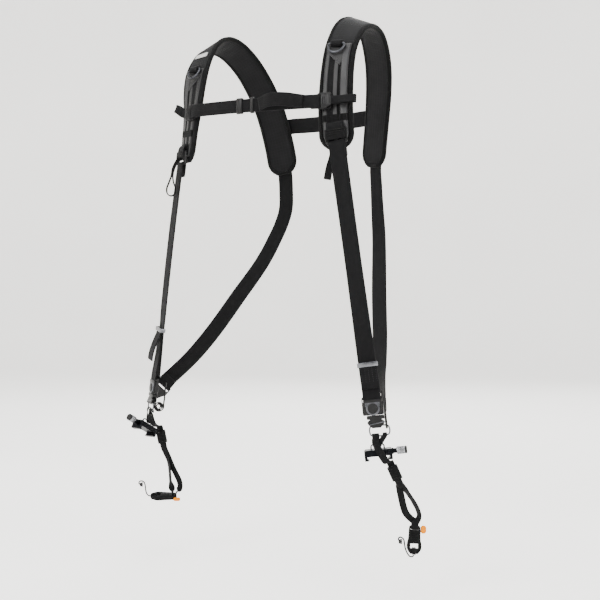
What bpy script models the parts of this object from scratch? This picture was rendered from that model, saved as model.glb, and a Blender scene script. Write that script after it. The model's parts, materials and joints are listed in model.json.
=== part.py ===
# Dual shoulder camera harness, worn. Metres, +Z up, the wearer faces -Y and the wearer's left is +X.
# The origin is midway between the shoulders, at the height where the pads rest.
import math

import bmesh
import bpy
from mathutils import Matrix, Vector

# Clearances
GAP = 0.0003
LAYER_GAP = 0.0004

# Webbing stock
WEB_W = 0.025
WEB_T = 0.0016
STERNUM_W = 0.020
LOOP_W = 0.012
TAIL_W = 0.011
TETHER_W = 0.010
TETHER_T = 0.0014

# Shoulder pads
PAD_HALF_SPAN = 0.133
PAD_W = 0.051
PAD_T = 0.009
PAD_END = 0.024
CREST_Z = 0.012
CHEST_DEPTH = 0.072
FRONT_DROP = 0.197
BACK_DEPTH = 0.118
BACK_DROP = 0.202
PAD_STEP = 0.017
PAD_BORDER = 0.0070
PANEL_T = 0.0012
PANEL_LOW = 0.009
PANEL_OVER_RING = 0.0045
PANEL_STEP = 0.002

# D-rings and their tabs
RING_WIRE_R = 0.0016
D_RING_W = 0.024
D_RING_H = 0.014
D_RING_UP = {1: 0.152, -1: 0.143}
D_RING_IN = 0.0035
D_TAB_W = 0.018
D_TAB_L = 0.007

# Ladder locks at the pads' lower ends
LOCK_W = 0.031
LOCK_H = 0.022
LOCK_T = 0.003
LOCK_BAR = 0.003
LOCK_UP = {1: 0.017, -1: 0.006}
LOCK_OUT = {1: 0.0015, -1: 0.0}
LOCK_SWING = {1: 7.0, -1: 0.0}
LOCK_TAB_L = 0.013
LOCK_TAIL_L = 0.020

# Chest band
STERNUM_UP = {1: 0.069, -1: 0.075}
STERNUM_LOCK_W = 0.020
STERNUM_LOCK_H = 0.024
STERNUM_LOCK_IN = 0.014
STERNUM_LOCK_CORNER = 0.0015
STERNUM_TURN_L = 0.012
LOOP_REACH = {1: 0.007, -1: -0.003}
STERNUM_LIFT = 0.0007
LOOP_RISE = {1: 0.000, -1: 0.016}
LOOP_OUT = {1: 0.0, -1: 0.0050}
LOOP_LIFT = 0.0003
CHEST_BOW = 0.008
BOW_FROM = 0.019
BOW_TO = 0.093
BOW_OUT = 0.007
BOW_UP = 0.005
KEEPER_X = -0.017
KEEPER_L = 0.010
SLIDER_X = 0.006
SLIDER_L = 0.005
SLEEVE_WALL = 0.0011

# Hip connectors
HIP = {1: (0.2125, -0.0960, -0.5490), -1: (-0.2030, -0.0770, -0.5400)}
HIP_TURN = 32.0
HIP_LEAN = 7.5
BODY_W = 0.029
BODY_T = 0.004
BODY_TOP = 0.0163
BODY_LOW = 0.009
BODY_BAR = 0.0035
BODY_SLOT = 0.0040
BODY_CORNER = 0.003
SHELL_T = 0.008
SHELL_W = 0.025
SHELL_END_W = 0.017
SHELL_WAIST = -0.004
PLATE_T = 0.0016
PLATE_R = 0.0095
PLATE_EAR = 0.0104
BUTTON_R = 0.0068
BUTTON_H = 0.0030
YOKE_T = 0.0085
YOKE_L = 0.0175
EYE_R = 0.0029
WIRE_R = 0.0011
RING_DROP = 0.0240
RING_W = 0.0270
RING_H = 0.0130
RING_CORNER = 0.0036
RING_SHIFT = 0.0065
HANGER_AT = 0.0066
TETHER_AT = -0.0062
TETHER_END_L = 0.0030

# Back straps and their links
LINK_T = 0.0030
LINK_L = 0.0360
LINK_LEAN = 36.0
LINK_SLOT = 0.0045
LINK_CHAMFER = 0.0008
CROSS_UP = 0.075
CROSS_BOW = 0.006

# Front straps
STRAP_BOW = 0.002
STRAP_TURN = {1: 10.0, -1: 28.0}
SLIDER_UP = {1: 0.0400, -1: 0.0740}
SLIDER_BAR = 0.0062
SLIDER_WALL = 0.0013
TAIL_L = {1: 0.030, -1: 0.046}
TAIL_BOW = {1: 0.0015, -1: 0.0070}
SEWN_L = 0.020
# The loose tail in front: share of its length, share of its bow
TAIL_ROWS = ((0.30, 0.45), (0.60, 0.85), (0.85, 1.00), (1.00, 0.95))

# Clamps
CLAMP_L = 0.0380
CLAMP_D = 0.0200
CLAMP_H = 0.0090
JAW_L = 0.0080
LIP_L = 0.0035
LIP_H = 0.0056
LIP_STEP = 0.0030
LIP_UNDER = 0.0026
SCREW_R = 0.0022
SCREW_L = 0.0220
COLLAR_R = 0.0044
COLLAR_L = 0.0018
NECK_R = 0.0034
NECK_L = 0.0045
KNOB_R = 0.0053
KNOB_L = 0.0142
BAIL_W = 0.0180
BAIL_H = 0.0065
BAIL_R = 0.0012
BAIL_CORNER = 0.0030
CLAMP_AT = {1: (0.2200, -0.0935, -0.6130), -1: (-0.2145, -0.0880, -0.6060)}
CLAMP_TURN = {1: 33.0, -1: -95.0}
CLAMP_TILT = {1: 6.0, -1: 28.0}
HANGER_W = 0.0060
HANGER_ROOM = 0.0010
HANGER_LOW = 0.0030
HANGER_T = 0.0014

# The turn that the loose pieces at the hips face
VIEW_TURN = 35.0

# Tethers
TETHER_SLIDER_L = 0.0200
TETHER_SLIDER_WALL = 0.0016
LINK_BLOCK_L = 0.0380
LINK_BLOCK_W = 0.0160
LINK_BLOCK_T = 0.0060
LINK_BLOCK_CORNER = 0.004
LINK_BAR = 0.0030
CORD_R = 0.0010
TAB_L = 0.0105
TAB_W = 0.0075
TAB_T = 0.0032
TAB_ALONG = {1: 0.45, -1: -0.30}
TAB_IN = {1: 0.0, -1: 0.0012}

# Surface finishes: name, colour, roughness, metallic
FINISHES = {
    "nylon": ((0.020, 0.020, 0.021), 0.85, 0.0),
    "leather": ((0.055, 0.055, 0.058), 0.50, 0.0),
    "plastic": ((0.012, 0.012, 0.013), 0.40, 0.0),
    "gunmetal": ((0.110, 0.112, 0.118), 0.35, 1.0),
    "steel": ((0.520, 0.520, 0.530), 0.28, 1.0),
    "clamp": ((0.018, 0.018, 0.020), 0.38, 0.6),
    "tab": ((0.900, 0.380, 0.020), 0.50, 0.0),
}

# Pad centre line from the lower tip to the crest, and from the crest to the back end.
# Columns: out (share of the half span), fore or aft (share of the chest or back depth),
# drop (share of the front or back drop), left and right turn of the face and its roll in degrees.
PAD_FRONT = (
    (1.040, 0.990, 1.000, 20, 30, 0),
    (1.030, 0.970, 0.873, 19, 29, 0),
    (1.010, 0.944, 0.720, 17, 26, 0),
    (1.000, 0.900, 0.568, 13, 19, 2),
    (1.000, 0.850, 0.416, 8, 11, 4),
    (1.000, 0.750, 0.274, 5, 6, 8),
    (1.000, 0.570, 0.152, 4, 5, 13),
    (1.000, 0.290, 0.046, 3, 4, 19),
    (1.000, -0.070, 0.000, 2, 2, 22),
)
PAD_BACK = (
    (0.980, 0.280, 0.020, -2, -2, 20),
    (0.930, 0.525, 0.119, -6, -6, 15),
    (0.870, 0.720, 0.267, -10, -10, 9),
    (0.800, 0.856, 0.445, -12, -12, 5),
    (0.740, 0.930, 0.629, -14, -14, 2),
    (0.690, 0.975, 0.812, -15, -15, 0),
    (0.650, 1.000, 1.000, -15, -15, 0),
)
# Pad section: across (share of the width), through (share of the thickness)
PAD_SECTION = (
    (-0.50, -0.20),
    (-0.50, 0.20),
    (-0.43, 0.50),
    (0.43, 0.50),
    (0.50, 0.20),
    (0.50, -0.20),
    (0.43, -0.50),
    (-0.43, -0.50),
)
# Front strap from the ladder lock to the connector: along, bow, and the shares that its own turn and
# the hip's turn have in the way it faces
FRONT_RUN = (
    (0.12, 0.35, 0.5, 0.0),
    (0.30, 0.85, 1.0, 0.0),
    (0.50, 1.00, 1.0, 0.0),
    (0.70, 0.85, 0.7, 0.3),
    (0.86, 0.45, 0.2, 0.8),
)
# Back strap from the pad to the link: shares of the way in X, Y and Z, and the face's turn in degrees
# on the left and on the right
BACK_RUN = (
    (0.011, -0.015, 0.171, 170, 166),
    (0.112, 0.074, 0.315, 174, 160),
    (0.226, 0.202, 0.443, 176, 152),
    (0.384, 0.383, 0.581, 176, 142),
    (0.577, 0.593, 0.745, 172, 132),
    (0.762, 0.795, 0.880, 152, 125),
)
# Narrow tails at the pads' lower ends: a flat one on the left (aside, up and forward) and a teardrop
# on the right (aside and up), in metres from where each leaves the pad
PAD_TAIL_AT = {1: (-0.0035, -0.0015, 0.002), -1: (0.005, 0.006, 0.0173)}
FLAT_TAIL = (
    (0.0000, 0.000, 0.0000),
    (-0.0020, -0.010, 0.0010),
    (-0.0058, -0.024, 0.0030),
    (-0.0092, -0.042, 0.0040),
)
LOOPED_TAIL = (
    (0.0000, 0.0000),
    (-0.0052, -0.0078),
    (-0.0094, -0.0170),
    (-0.0118, -0.0300),
    (-0.0155, -0.0400),
    (-0.0187, -0.0500),
    (-0.0170, -0.0575),
    (-0.0118, -0.0600),
    (-0.0060, -0.0565),
    (-0.0050, -0.0490),
    (-0.0078, -0.0400),
    (-0.0092, -0.0300),
    (-0.0066, -0.0170),
    (-0.0020, -0.0078),
    (0.0030, -0.0008),
)
# Slack layer of the chest band: along (share), out and up (shares of the bow)
BOW_ROWS = (
    (0.00, 0.00, 0.00),
    (0.12, 0.35, 0.45),
    (0.28, 0.85, 0.90),
    (0.48, 1.00, 1.00),
    (0.70, 0.70, 0.75),
    (0.88, 0.20, 0.30),
    (1.00, 0.00, 0.00),
)
# Yoke outline below the button: down (share of the yoke's length), half width in shares of the body's width
YOKE_ROWS = ((0.00, 0.22), (0.28, 0.22), (0.42, 0.36), (0.56, 0.42), (0.74, 0.36), (1.00, 0.20))

# Tethers: named places on each side, in metres
TETHER_OVER = {
    1: ((0.2200, -0.1012, -0.5950), (0.2290, -0.1030, -0.6085), (0.2358, -0.0985, -0.6200)),
    -1: ((-0.1945, -0.0945, -0.5860), (-0.1865, -0.0960, -0.5960)),
}
TETHER_SLIDER_AT = {1: (0.2408, -0.0850, -0.6360), -1: (-0.1865, -0.0780, -0.6170)}
TETHER_SLIDER_LEAN = {1: 24.0, -1: 12.0}
TETHER_DOWN = {
    1: ((0.2432, -0.0765, -0.6560), (0.2452, -0.0735, -0.6730), (0.2495, -0.0700, -0.6920)),
    -1: ((-0.1855, -0.0715, -0.6390), (-0.1840, -0.0630, -0.6640), (-0.1835, -0.0600, -0.6900)),
}
TETHER_UP = {
    1: ((0.2645, -0.0590, -0.6960), (0.2600, -0.0620, -0.6810), (0.2510, -0.0685, -0.6640)),
    -1: ((-0.1712, -0.0515, -0.7000), (-0.1725, -0.0522, -0.6880), (-0.1800, -0.0578, -0.6690)),
}
LINK_AT = {1: (0.2590, -0.0630, -0.7290), -1: (-0.1925, -0.0665, -0.7135)}
LINK_AIM = {1: -92.0, -1: 180.0}
LINK_ROLL = {1: 0.0, -1: 72.0}
LINK_LEAD = {1: 0.006, -1: 0.003}
TETHER_DOWN_TURN = {1: 0.25, -1: 0.65}
TETHER_UP_TURN = {1: 0.6, -1: 0.30}
# The lug cord's route, chosen by hand, from the link block's end to its knot: metres right and up
# of the block's end, in the block's face plane
CORD_ROUTE = {
    1: ((0.0000, -0.0010), (-0.0020, -0.0030), (-0.0060, -0.0022), (-0.0095, 0.0030), (-0.0118, 0.0090),
        (-0.0128, 0.0150), (-0.0135, 0.0195), (-0.0155, 0.0225), (-0.0190, 0.0240), (-0.0215, 0.0215),
        (-0.0195, 0.0188), (-0.0168, 0.0178)),
    -1: ((0.0006, -0.0002), (-0.0040, 0.0010), (-0.0070, 0.0045), (-0.0085, 0.0105), (-0.0092, 0.0170),
         (-0.0105, 0.0215), (-0.0140, 0.0240), (-0.0180, 0.0235), (-0.0190, 0.0205), (-0.0160, 0.0188),
         (-0.0130, 0.0190)),
}
# The rolled spare webbing: where its roll sits from the right hip, its roll and its cut end
BUNDLE_AT = (0.0157, -0.0270, -0.0064)
BUNDLE_R = 0.0080
BUNDLE_CORE = 0.0026
BUNDLE_TURNS = 2.25
BUNDLE_STEPS = 20
BUNDLE_TAIL = ((0.0115, 0.0370), (0.0096, 0.0230), (0.0088, 0.0110))

SIDES = {"left": 1, "right": -1}


def clear_scene():
    for old in list(bpy.data.objects):
        bpy.data.objects.remove(old, do_unlink=True)


def finish_of(name, finish):
    colour, roughness, metallic = FINISHES[finish]
    made = bpy.data.materials.new(name + "_" + finish)
    made.use_nodes = True
    shader = made.node_tree.nodes["Principled BSDF"]
    shader.inputs["Base Color"].default_value = (*colour, 1.0)
    shader.inputs["Roughness"].default_value = roughness
    shader.inputs["Metallic"].default_value = metallic
    made.diffuse_color = (*colour, 1.0)
    return made


def add(name, mesh_maker, finish, place=None, smooth=True):
    # mesh_maker fills a bmesh in the piece's own coordinates
    bm = bmesh.new()
    mesh_maker(bm)
    bmesh.ops.recalc_face_normals(bm, faces=bm.faces)
    mesh = bpy.data.meshes.new(name)
    bm.to_mesh(mesh)
    bm.free()
    made = bpy.data.objects.new(name, mesh)
    bpy.context.scene.collection.objects.link(made)
    mesh.materials.append(finish_of(name, finish))
    if smooth:
        mesh.shade_smooth()
        mesh.set_sharp_from_angle(angle=math.radians(35))
    if place is not None:
        made.location = place.to_translation()
        made.rotation_euler = place.to_euler()
    return made


def frame(origin, u, v):
    # a place with x along u, y along v and z out of the face
    u = Vector(u)
    v = Vector(v).normalized()
    u = (u - v * u.dot(v)).normalized()
    n = u.cross(v)
    facing_out = Matrix((u, v, n)).transposed().to_4x4()
    return Matrix.Translation(Vector(origin)) @ facing_out


def facing(origin, turn, up=(0, 0, 1)):
    # a place whose face looks towards the given turn, 0 being straight ahead of the wearer
    a = math.radians(turn)
    return frame(origin, (math.cos(a), math.sin(a), 0), up)


def at(place, x=0.0, y=0.0, z=0.0):
    return place @ Vector((x, y, z))


def axis(place, k):
    return place.to_3x3().col[k].normalized()


def catmull_value(p, q, r, s, t):
    # a share t of the way from q to r, on the smooth curve through all four
    bend = 2 * p - 5 * q + 4 * r - s
    twist = 3 * q - p - 3 * r + s
    return 0.5 * (2 * q + (r - p) * t + bend * t * t + twist * t**3)


def catmull(rows, steps):
    # a smooth curve through rows of numbers, with the same steps between each two
    rows = [tuple(float(v) for v in row) for row in rows]
    ends = [rows[0]] + rows + [rows[-1]]
    made = []
    for k in range(1, len(ends) - 2):
        a, b, c, d = ends[k - 1], ends[k], ends[k + 1], ends[k + 2]
        for i in range(steps):
            t = i / steps
            made.append(tuple(catmull_value(p, q, r, s, t) for p, q, r, s in zip(a, b, c, d)))
    made.append(rows[-1])
    return made


def smooth_rows(rows, steps):
    # the same smooth curve through (point, across) rows
    fine = catmull([(*p, *a) for p, a in rows], steps)
    return [(Vector(r[:3]), Vector(r[3:]).normalized()) for r in fine]


def sweep(bm, rings, closed=False):
    # joins rings of points, each the same count, into one closed skin
    made = [[bm.verts.new(p) for p in ring] for ring in rings]
    count = len(made[0])
    pairs = list(zip(made, made[1:]))
    if closed:
        pairs.append((made[-1], made[0]))
    for a, b in pairs:
        for k in range(count):
            j = (k + 1) % count
            bm.faces.new((a[k], a[j], b[j], b[k]))
    if not closed:
        bm.faces.new(made[0])
        bm.faces.new(list(reversed(made[-1])))


def band_rings(rows, width, thick, closed=False):
    # rows are (point, across); the band's thickness stands square to both
    points = [Vector(p) for p, _ in rows]
    count = len(points)
    rings = []
    for k, (_, across) in enumerate(rows):
        before = points[k - 1] if (k or closed) else points[k]
        after = points[(k + 1) % count] if (k < count - 1 or closed) else points[k]
        back = (points[k] - before).normalized() if before != points[k] else None
        on = (after - points[k]).normalized() if after != points[k] else None
        run = (back or on) + (on or back)
        a = Vector(across)
        a = (a - run.normalized() * a.dot(run.normalized())).normalized()
        n = run.normalized().cross(a)
        w = a * width * 0.5
        h = n * thick * 0.5
        rings.append([points[k] - w - h, points[k] + w - h, points[k] + w + h, points[k] - w + h])
    return rings


def band(name, rows, width, thick, finish="nylon", closed=False):
    rings = band_rings(rows, width, thick, closed)
    start = Vector(rows[0][0])
    rings = [[p - start for p in ring] for ring in rings]
    return add(name, lambda bm: sweep(bm, rings, closed), finish, Matrix.Translation(start))


def wrap(half_y, half_z, offset, steps=3):
    # a path over the +y side of a bar, from its +z face to its -z face, as (y, z)
    made = []
    for k in range(steps + 1):
        a = math.radians(90 * k / steps)
        made.append((half_y + offset * math.sin(a), half_z + offset * math.cos(a)))
    for k in range(steps + 1):
        a = math.radians(90 * k / steps)
        made.append((half_y + offset * math.cos(a), -half_z - offset * math.sin(a)))
    return made


def half_turn(radius, steps=4):
    # half a circle over the +y side, from +z to -z, as (y, z)
    angles = [math.pi * k / steps for k in range(steps + 1)]
    return [(radius * math.sin(a), radius * math.cos(a)) for a in angles]


def prism(bm, outline, low, high, chamfer=0.0):
    # an outline in x and y, pulled from low to high in z, its two rims drawn in by the chamfer
    middle = Vector((sum(p[0] for p in outline) / len(outline), sum(p[1] for p in outline) / len(outline)))
    levels = [(low, chamfer), (low + chamfer, 0.0), (high - chamfer, 0.0), (high, chamfer)]
    if chamfer == 0.0:
        levels = [(low, 0.0), (high, 0.0)]
    rings = []
    for z, inset in levels:
        ring = []
        for x, y in outline:
            out = Vector((x, y)) - middle
            reach = max(out.length - inset, 0.0) / out.length
            ring.append((middle.x + out.x * reach, middle.y + out.y * reach, z))
        rings.append(ring)
    sweep(bm, rings)


def grid_plate(bm, xs, ys, solid, low, high, corner=0.0):
    # a plate of cells between the lines xs and ys, kept where solid(i, j) is true
    kept = {(i, j) for i in range(len(xs) - 1) for j in range(len(ys) - 1) if solid(i, j)}
    verts = {}

    def vert(i, j, k):
        if (i, j, k) not in verts:
            verts[(i, j, k)] = bm.verts.new((xs[i], ys[j], (low, high)[k]))
        return verts[(i, j, k)]

    for i, j in kept:
        for k in (0, 1):
            bm.faces.new((vert(i, j, k), vert(i + 1, j, k), vert(i + 1, j + 1, k), vert(i, j + 1, k)))
        walls = (
            ((i, j), (i + 1, j), (i, j - 1)),
            ((i + 1, j), (i + 1, j + 1), (i + 1, j)),
            ((i + 1, j + 1), (i, j + 1), (i, j + 1)),
            ((i, j + 1), (i, j), (i - 1, j)),
        )
        for a, b, beyond in walls:
            if beyond not in kept:
                bm.faces.new((vert(*a, 0), vert(*b, 0), vert(*b, 1), vert(*a, 1)))
    if corner:
        def at_corner(v):
            near_x = min(abs(v.co.x - xs[0]), abs(v.co.x - xs[-1]))
            near_y = min(abs(v.co.y - ys[0]), abs(v.co.y - ys[-1]))
            return max(near_x, near_y) < 1e-6

        upright = [e for e in bm.edges if abs(e.verts[0].co.z - e.verts[1].co.z) > 1e-6]
        posts = [e for e in upright if all(at_corner(v) for v in e.verts)]
        bmesh.ops.bevel(bm, geom=posts, offset=corner, segments=2, affect="EDGES", profile=0.5)


def slotted(name, place, width, height, thick, bars, rail, finish, corner=0.002):
    # a buckle: bars across x at the given y spans, joined by a rail down each side
    ys = sorted({-height / 2, height / 2} | {y for bar in bars for y in bar})
    xs = (-width / 2, -width / 2 + rail, width / 2 - rail, width / 2)

    def solid(i, j):
        if i != 1:
            return True
        y = (ys[j] + ys[j + 1]) / 2
        return any(low < y < high for low, high in bars)

    return add(name, lambda bm: grid_plate(bm, xs, ys, solid, -thick / 2, thick / 2, corner), finish, place)


def sleeve(name, place, inner_w, inner_t, wall, length, finish):
    # a flat tube round a band: x across it, y along it, z through it
    def make(bm):
        rings = []
        for y in (-length / 2, length / 2):
            for extra in (wall, 0.0):
                w = inner_w / 2 + extra
                t = inner_t / 2 + extra
                rings.append([(-w, y, -t), (w, y, -t), (w, y, t), (-w, y, t)])
        low_out, low_in, high_out, high_in = rings
        sweep(bm, [low_out, high_out, high_in, low_in], closed=True)

    return add(name, make, finish, place)


def tube_rings(points, radius, sides, closed):
    # round rings along a path that lies close to one plane
    points = [Vector(p) for p in points]
    count = len(points)
    middle = sum(points, Vector()) / count
    plane = Vector()
    for a, b in zip(points, points[1:] + points[:1]):
        plane += (a - middle).cross(b - middle)
    plane.normalize()
    rings = []
    for k, p in enumerate(points):
        before = points[k - 1] if (k or closed) else p
        after = points[(k + 1) % count] if (k < count - 1 or closed) else p
        run = (after - before).normalized()
        side = run.cross(plane).normalized()
        lift = side.cross(run)
        angles = [2 * math.pi * (i + 0.5) / sides for i in range(sides)]
        rings.append([p + (side * math.cos(a) + lift * math.sin(a)) * radius for a in angles])
    return rings


def wire(name, place, points, radius, finish, sides=6, closed=True):
    rings = tube_rings([(x, y, 0.0) for x, y in points], radius, sides, closed)
    return add(name, lambda bm: sweep(bm, rings, closed), finish, place)


def turned(bm, profile, sides, closed_rings=False):
    # a profile of (radius, along) turned round the x axis
    rings = []
    for radius, along in profile:
        ring = []
        for k in range(sides):
            a = 2 * math.pi * k / sides
            ring.append((along, radius * math.cos(a), radius * math.sin(a)))
        rings.append(ring)
    sweep(bm, rings, closed_rings)


def cut(made, cutter_name, place, mesh_maker, operation="DIFFERENCE"):
    # takes a shape out of a piece, or joins it on, and keeps the cutter as a hidden guide
    cutter = add(cutter_name, mesh_maker, "plastic", place, smooth=False)
    cutter.hide_render = True
    cutter.display_type = "WIRE"
    step = made.modifiers.new(cutter_name, "BOOLEAN")
    step.operation = operation
    step.object = cutter
    return cutter


def d_points(width, height, drop=0.0, steps=8):
    # a D with its bar on top and its bow below; the bar's middle is at (0, -drop)
    made = [(-width / 2, -drop), (-width / 6, -drop), (width / 6, -drop), (width / 2, -drop)]
    for k in range(1, steps):
        a = math.pi * k / steps
        x = math.cos(a) * width / 2
        y = -drop - math.sin(a) ** 0.75 * height
        made.append((x * (1.0 + 0.06 * math.sin(a)), y))
    return made


def rounded(half_w, low, high, corner, steps=2):
    # a rounded rectangle from its lower left corner round to its upper left, as (x, y)
    made = []
    bottom = low + corner
    top = high - corner
    corners = ((-1, bottom, 180), (1, bottom, 270), (1, top, 0), (-1, top, 90))
    for sign, y, start in corners:
        for k in range(steps + 1):
            a = math.radians(start + 90 * k / steps)
            made.append((sign * (half_w - corner) + corner * math.cos(a), y + corner * math.sin(a)))
    return made


def ring_points():
    # the carrying ring, a rounded rectangle whose upper run is the bar
    return rounded(RING_W / 2, -RING_DROP - RING_H, -RING_DROP, RING_CORNER)


# Shoulder pads


def pad_places(side):
    # places along a pad from the lower tip to the back end, with the distance of each
    rows = []
    for out, fore, drop, left_turn, right_turn, roll in PAD_FRONT:
        turn = left_turn if side > 0 else right_turn
        rows.append((out * PAD_HALF_SPAN, -fore * CHEST_DEPTH, CREST_Z - drop * FRONT_DROP, turn, roll))
    for out, aft, drop, left_turn, right_turn, roll in PAD_BACK:
        turn = left_turn if side > 0 else right_turn
        rows.append((out * PAD_HALF_SPAN, aft * BACK_DEPTH, CREST_Z - drop * BACK_DROP, turn, roll))
    fine = catmull(rows, 12)
    far = [0.0]
    for a, b in zip(fine, fine[1:]):
        far.append(far[-1] + (Vector(b[:3]) - Vector(a[:3])).length)
    length = far[-1]
    middle = max(3, round((length - 2 * PAD_END) / PAD_STEP))
    ends = [PAD_END * share for share in (0.0, 0.12, 0.30, 0.55)]
    wanted = ends + [PAD_END + (length - 2 * PAD_END) * k / middle for k in range(middle + 1)]
    wanted += [length - d for d in reversed(ends)]
    picked = []
    k = 0
    for d in wanted:
        while k < len(far) - 2 and far[k + 1] < d:
            k += 1
        t = (d - far[k]) / (far[k + 1] - far[k])
        picked.append((d, [p + (q - p) * t for p, q in zip(fine[k], fine[k + 1])]))
    made = []
    for i, (d, row) in enumerate(picked):
        before = picked[max(i - 1, 0)][1]
        after = picked[min(i + 1, len(picked) - 1)][1]
        run = Vector(after[:3]) - Vector(before[:3])
        turn = math.radians(row[3])
        roll = math.radians(row[4])
        across = Vector((math.cos(turn) * math.cos(roll), math.sin(turn) * math.cos(roll), -math.sin(roll)))
        if side < 0:
            across = Vector((across.x, -across.y, -across.z))
            run.x = -run.x
        origin = (side * row[0], row[1], row[2])
        made.append((d, frame(origin, across, run)))
    return made


PADS = {side: pad_places(side) for side in SIDES.values()}
PAD_LENGTH = PADS[1][-1][0]


def pad_at(side, distance):
    # the place on a pad's facets at a distance from its lower tip
    places = PADS[side]
    distance = min(max(distance, 0.0), PAD_LENGTH)
    for (d0, a), (d1, b) in zip(places, places[1:]):
        if distance <= d1:
            t = (distance - d0) / (d1 - d0)
            origin = a.to_translation().lerp(b.to_translation(), t)
            run = b.to_translation() - a.to_translation()
            return frame(origin, axis(a, 0).lerp(axis(b, 0), t), run)
    return places[-1][1]


def end_share(distance):
    # how much of its full width a pad has near its rounded ends
    near = min(distance, PAD_LENGTH - distance)
    short = max(0.0, 1.0 - near / PAD_END)
    return math.sqrt(1.0 - 0.87 * short * short)


def shoulder_pad(prefix, side):
    rings = []
    for d, place in PADS[side]:
        width = PAD_W * end_share(d)
        rings.append([at(place, x * width, 0.0, z * PAD_T) for x, z in PAD_SECTION])
    add(prefix + "shoulder_pad", lambda bm: sweep(bm, rings), "nylon")


PANEL_LIFT = PAD_T / 2 + GAP
PANEL_TOP = PANEL_LIFT + PANEL_T


def pad_panel(prefix, side):
    rings = []
    high_end = D_RING_UP[side] + PANEL_OVER_RING
    inner = [d for d, _ in PADS[side] if PANEL_LOW + PANEL_STEP < d < high_end - PANEL_STEP]
    chosen = [PANEL_LOW] + inner + [high_end]
    exact = {round(d, 6): place for d, place in PADS[side]}
    for d in chosen:
        place = exact.get(round(d, 6)) or pad_at(side, d)
        half = PAD_W * end_share(d) / 2 - PAD_BORDER
        corners = ((-half, PANEL_LIFT), (half, PANEL_LIFT), (half, PANEL_TOP), (-half, PANEL_TOP))
        rings.append([at(place, x, 0, z) for x, z in corners])
    add(prefix + "pad_panel", lambda bm: sweep(bm, rings), "leather")


WEB_STAND = GAP + WEB_T / 2


def over_panel(bar_half):
    # height of a bar's middle over the pad's centre, with one webbing layer between bar and panel
    return PANEL_TOP + GAP + WEB_T + GAP + bar_half


def ring_and_tab(prefix, side):
    height = over_panel(RING_WIRE_R)
    place = pad_at(side, D_RING_UP[side]) @ Matrix.Translation((-side * D_RING_IN, 0, height))
    wire(prefix + "d_ring", place, d_points(D_RING_W, D_RING_H), RING_WIRE_R, "gunmetal", sides=8)
    turn = [(-y, z) for y, z in wrap(0.0, 0.0, RING_WIRE_R + WEB_STAND, 3)]
    front = turn[0][1]
    path = [(D_TAB_L, -front), (D_TAB_L * 0.5, -front)] + [(y, -z) for y, z in turn]
    path += [(D_TAB_L * 0.5, front * 0.9), (D_TAB_L, -front + WEB_T + LAYER_GAP)]
    rows = [(at(place, 0, y, z), axis(place, 0)) for y, z in path]
    band(prefix + "d_ring_tab", rows, D_TAB_W, WEB_T)


def lock_place(side):
    middle = Matrix.Translation((side * LOCK_OUT[side], 0, over_panel(LOCK_T / 2)))
    return pad_at(side, LOCK_UP[side]) @ middle @ Matrix.Rotation(math.radians(LOCK_SWING[side]), 4, "Z")


def ladder_lock(prefix, side):
    place = lock_place(side)
    bars = (
        (LOCK_H / 2 - LOCK_BAR, LOCK_H / 2),
        (-LOCK_BAR / 2, LOCK_BAR / 2),
        (-LOCK_H / 2, -LOCK_H / 2 + LOCK_BAR),
    )
    rail = (LOCK_W - WEB_W) / 2 - 2 * GAP
    slotted(prefix + "ladder_lock", place, LOCK_W, LOCK_H, LOCK_T, bars, rail, "plastic")
    top = (LOCK_H - LOCK_BAR) / 2
    stand = LOCK_T / 2 + WEB_STAND
    path = [(top + LOCK_TAB_L, -stand), (top + LOCK_TAB_L * 0.4, -stand)]
    path += [(top - y, -z) for y, z in wrap(LOCK_BAR / 2, LOCK_T / 2, WEB_STAND)]
    path += [(top + LOCK_TAB_L * 0.4, stand), (top + LOCK_TAB_L * 0.8, -stand + WEB_T + LAYER_GAP + 0.0004)]
    rows = [(at(place, 0, y, z), axis(place, 0)) for y, z in path]
    band(prefix + "lock_tab", rows, WEB_W, WEB_T)


# Hip connectors


def hip(side):
    lean = math.radians(HIP_LEAN)
    up = Vector((-side * math.sin(lean), 0.03, math.cos(lean)))
    return facing(HIP[side], side * HIP_TURN, up)


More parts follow.
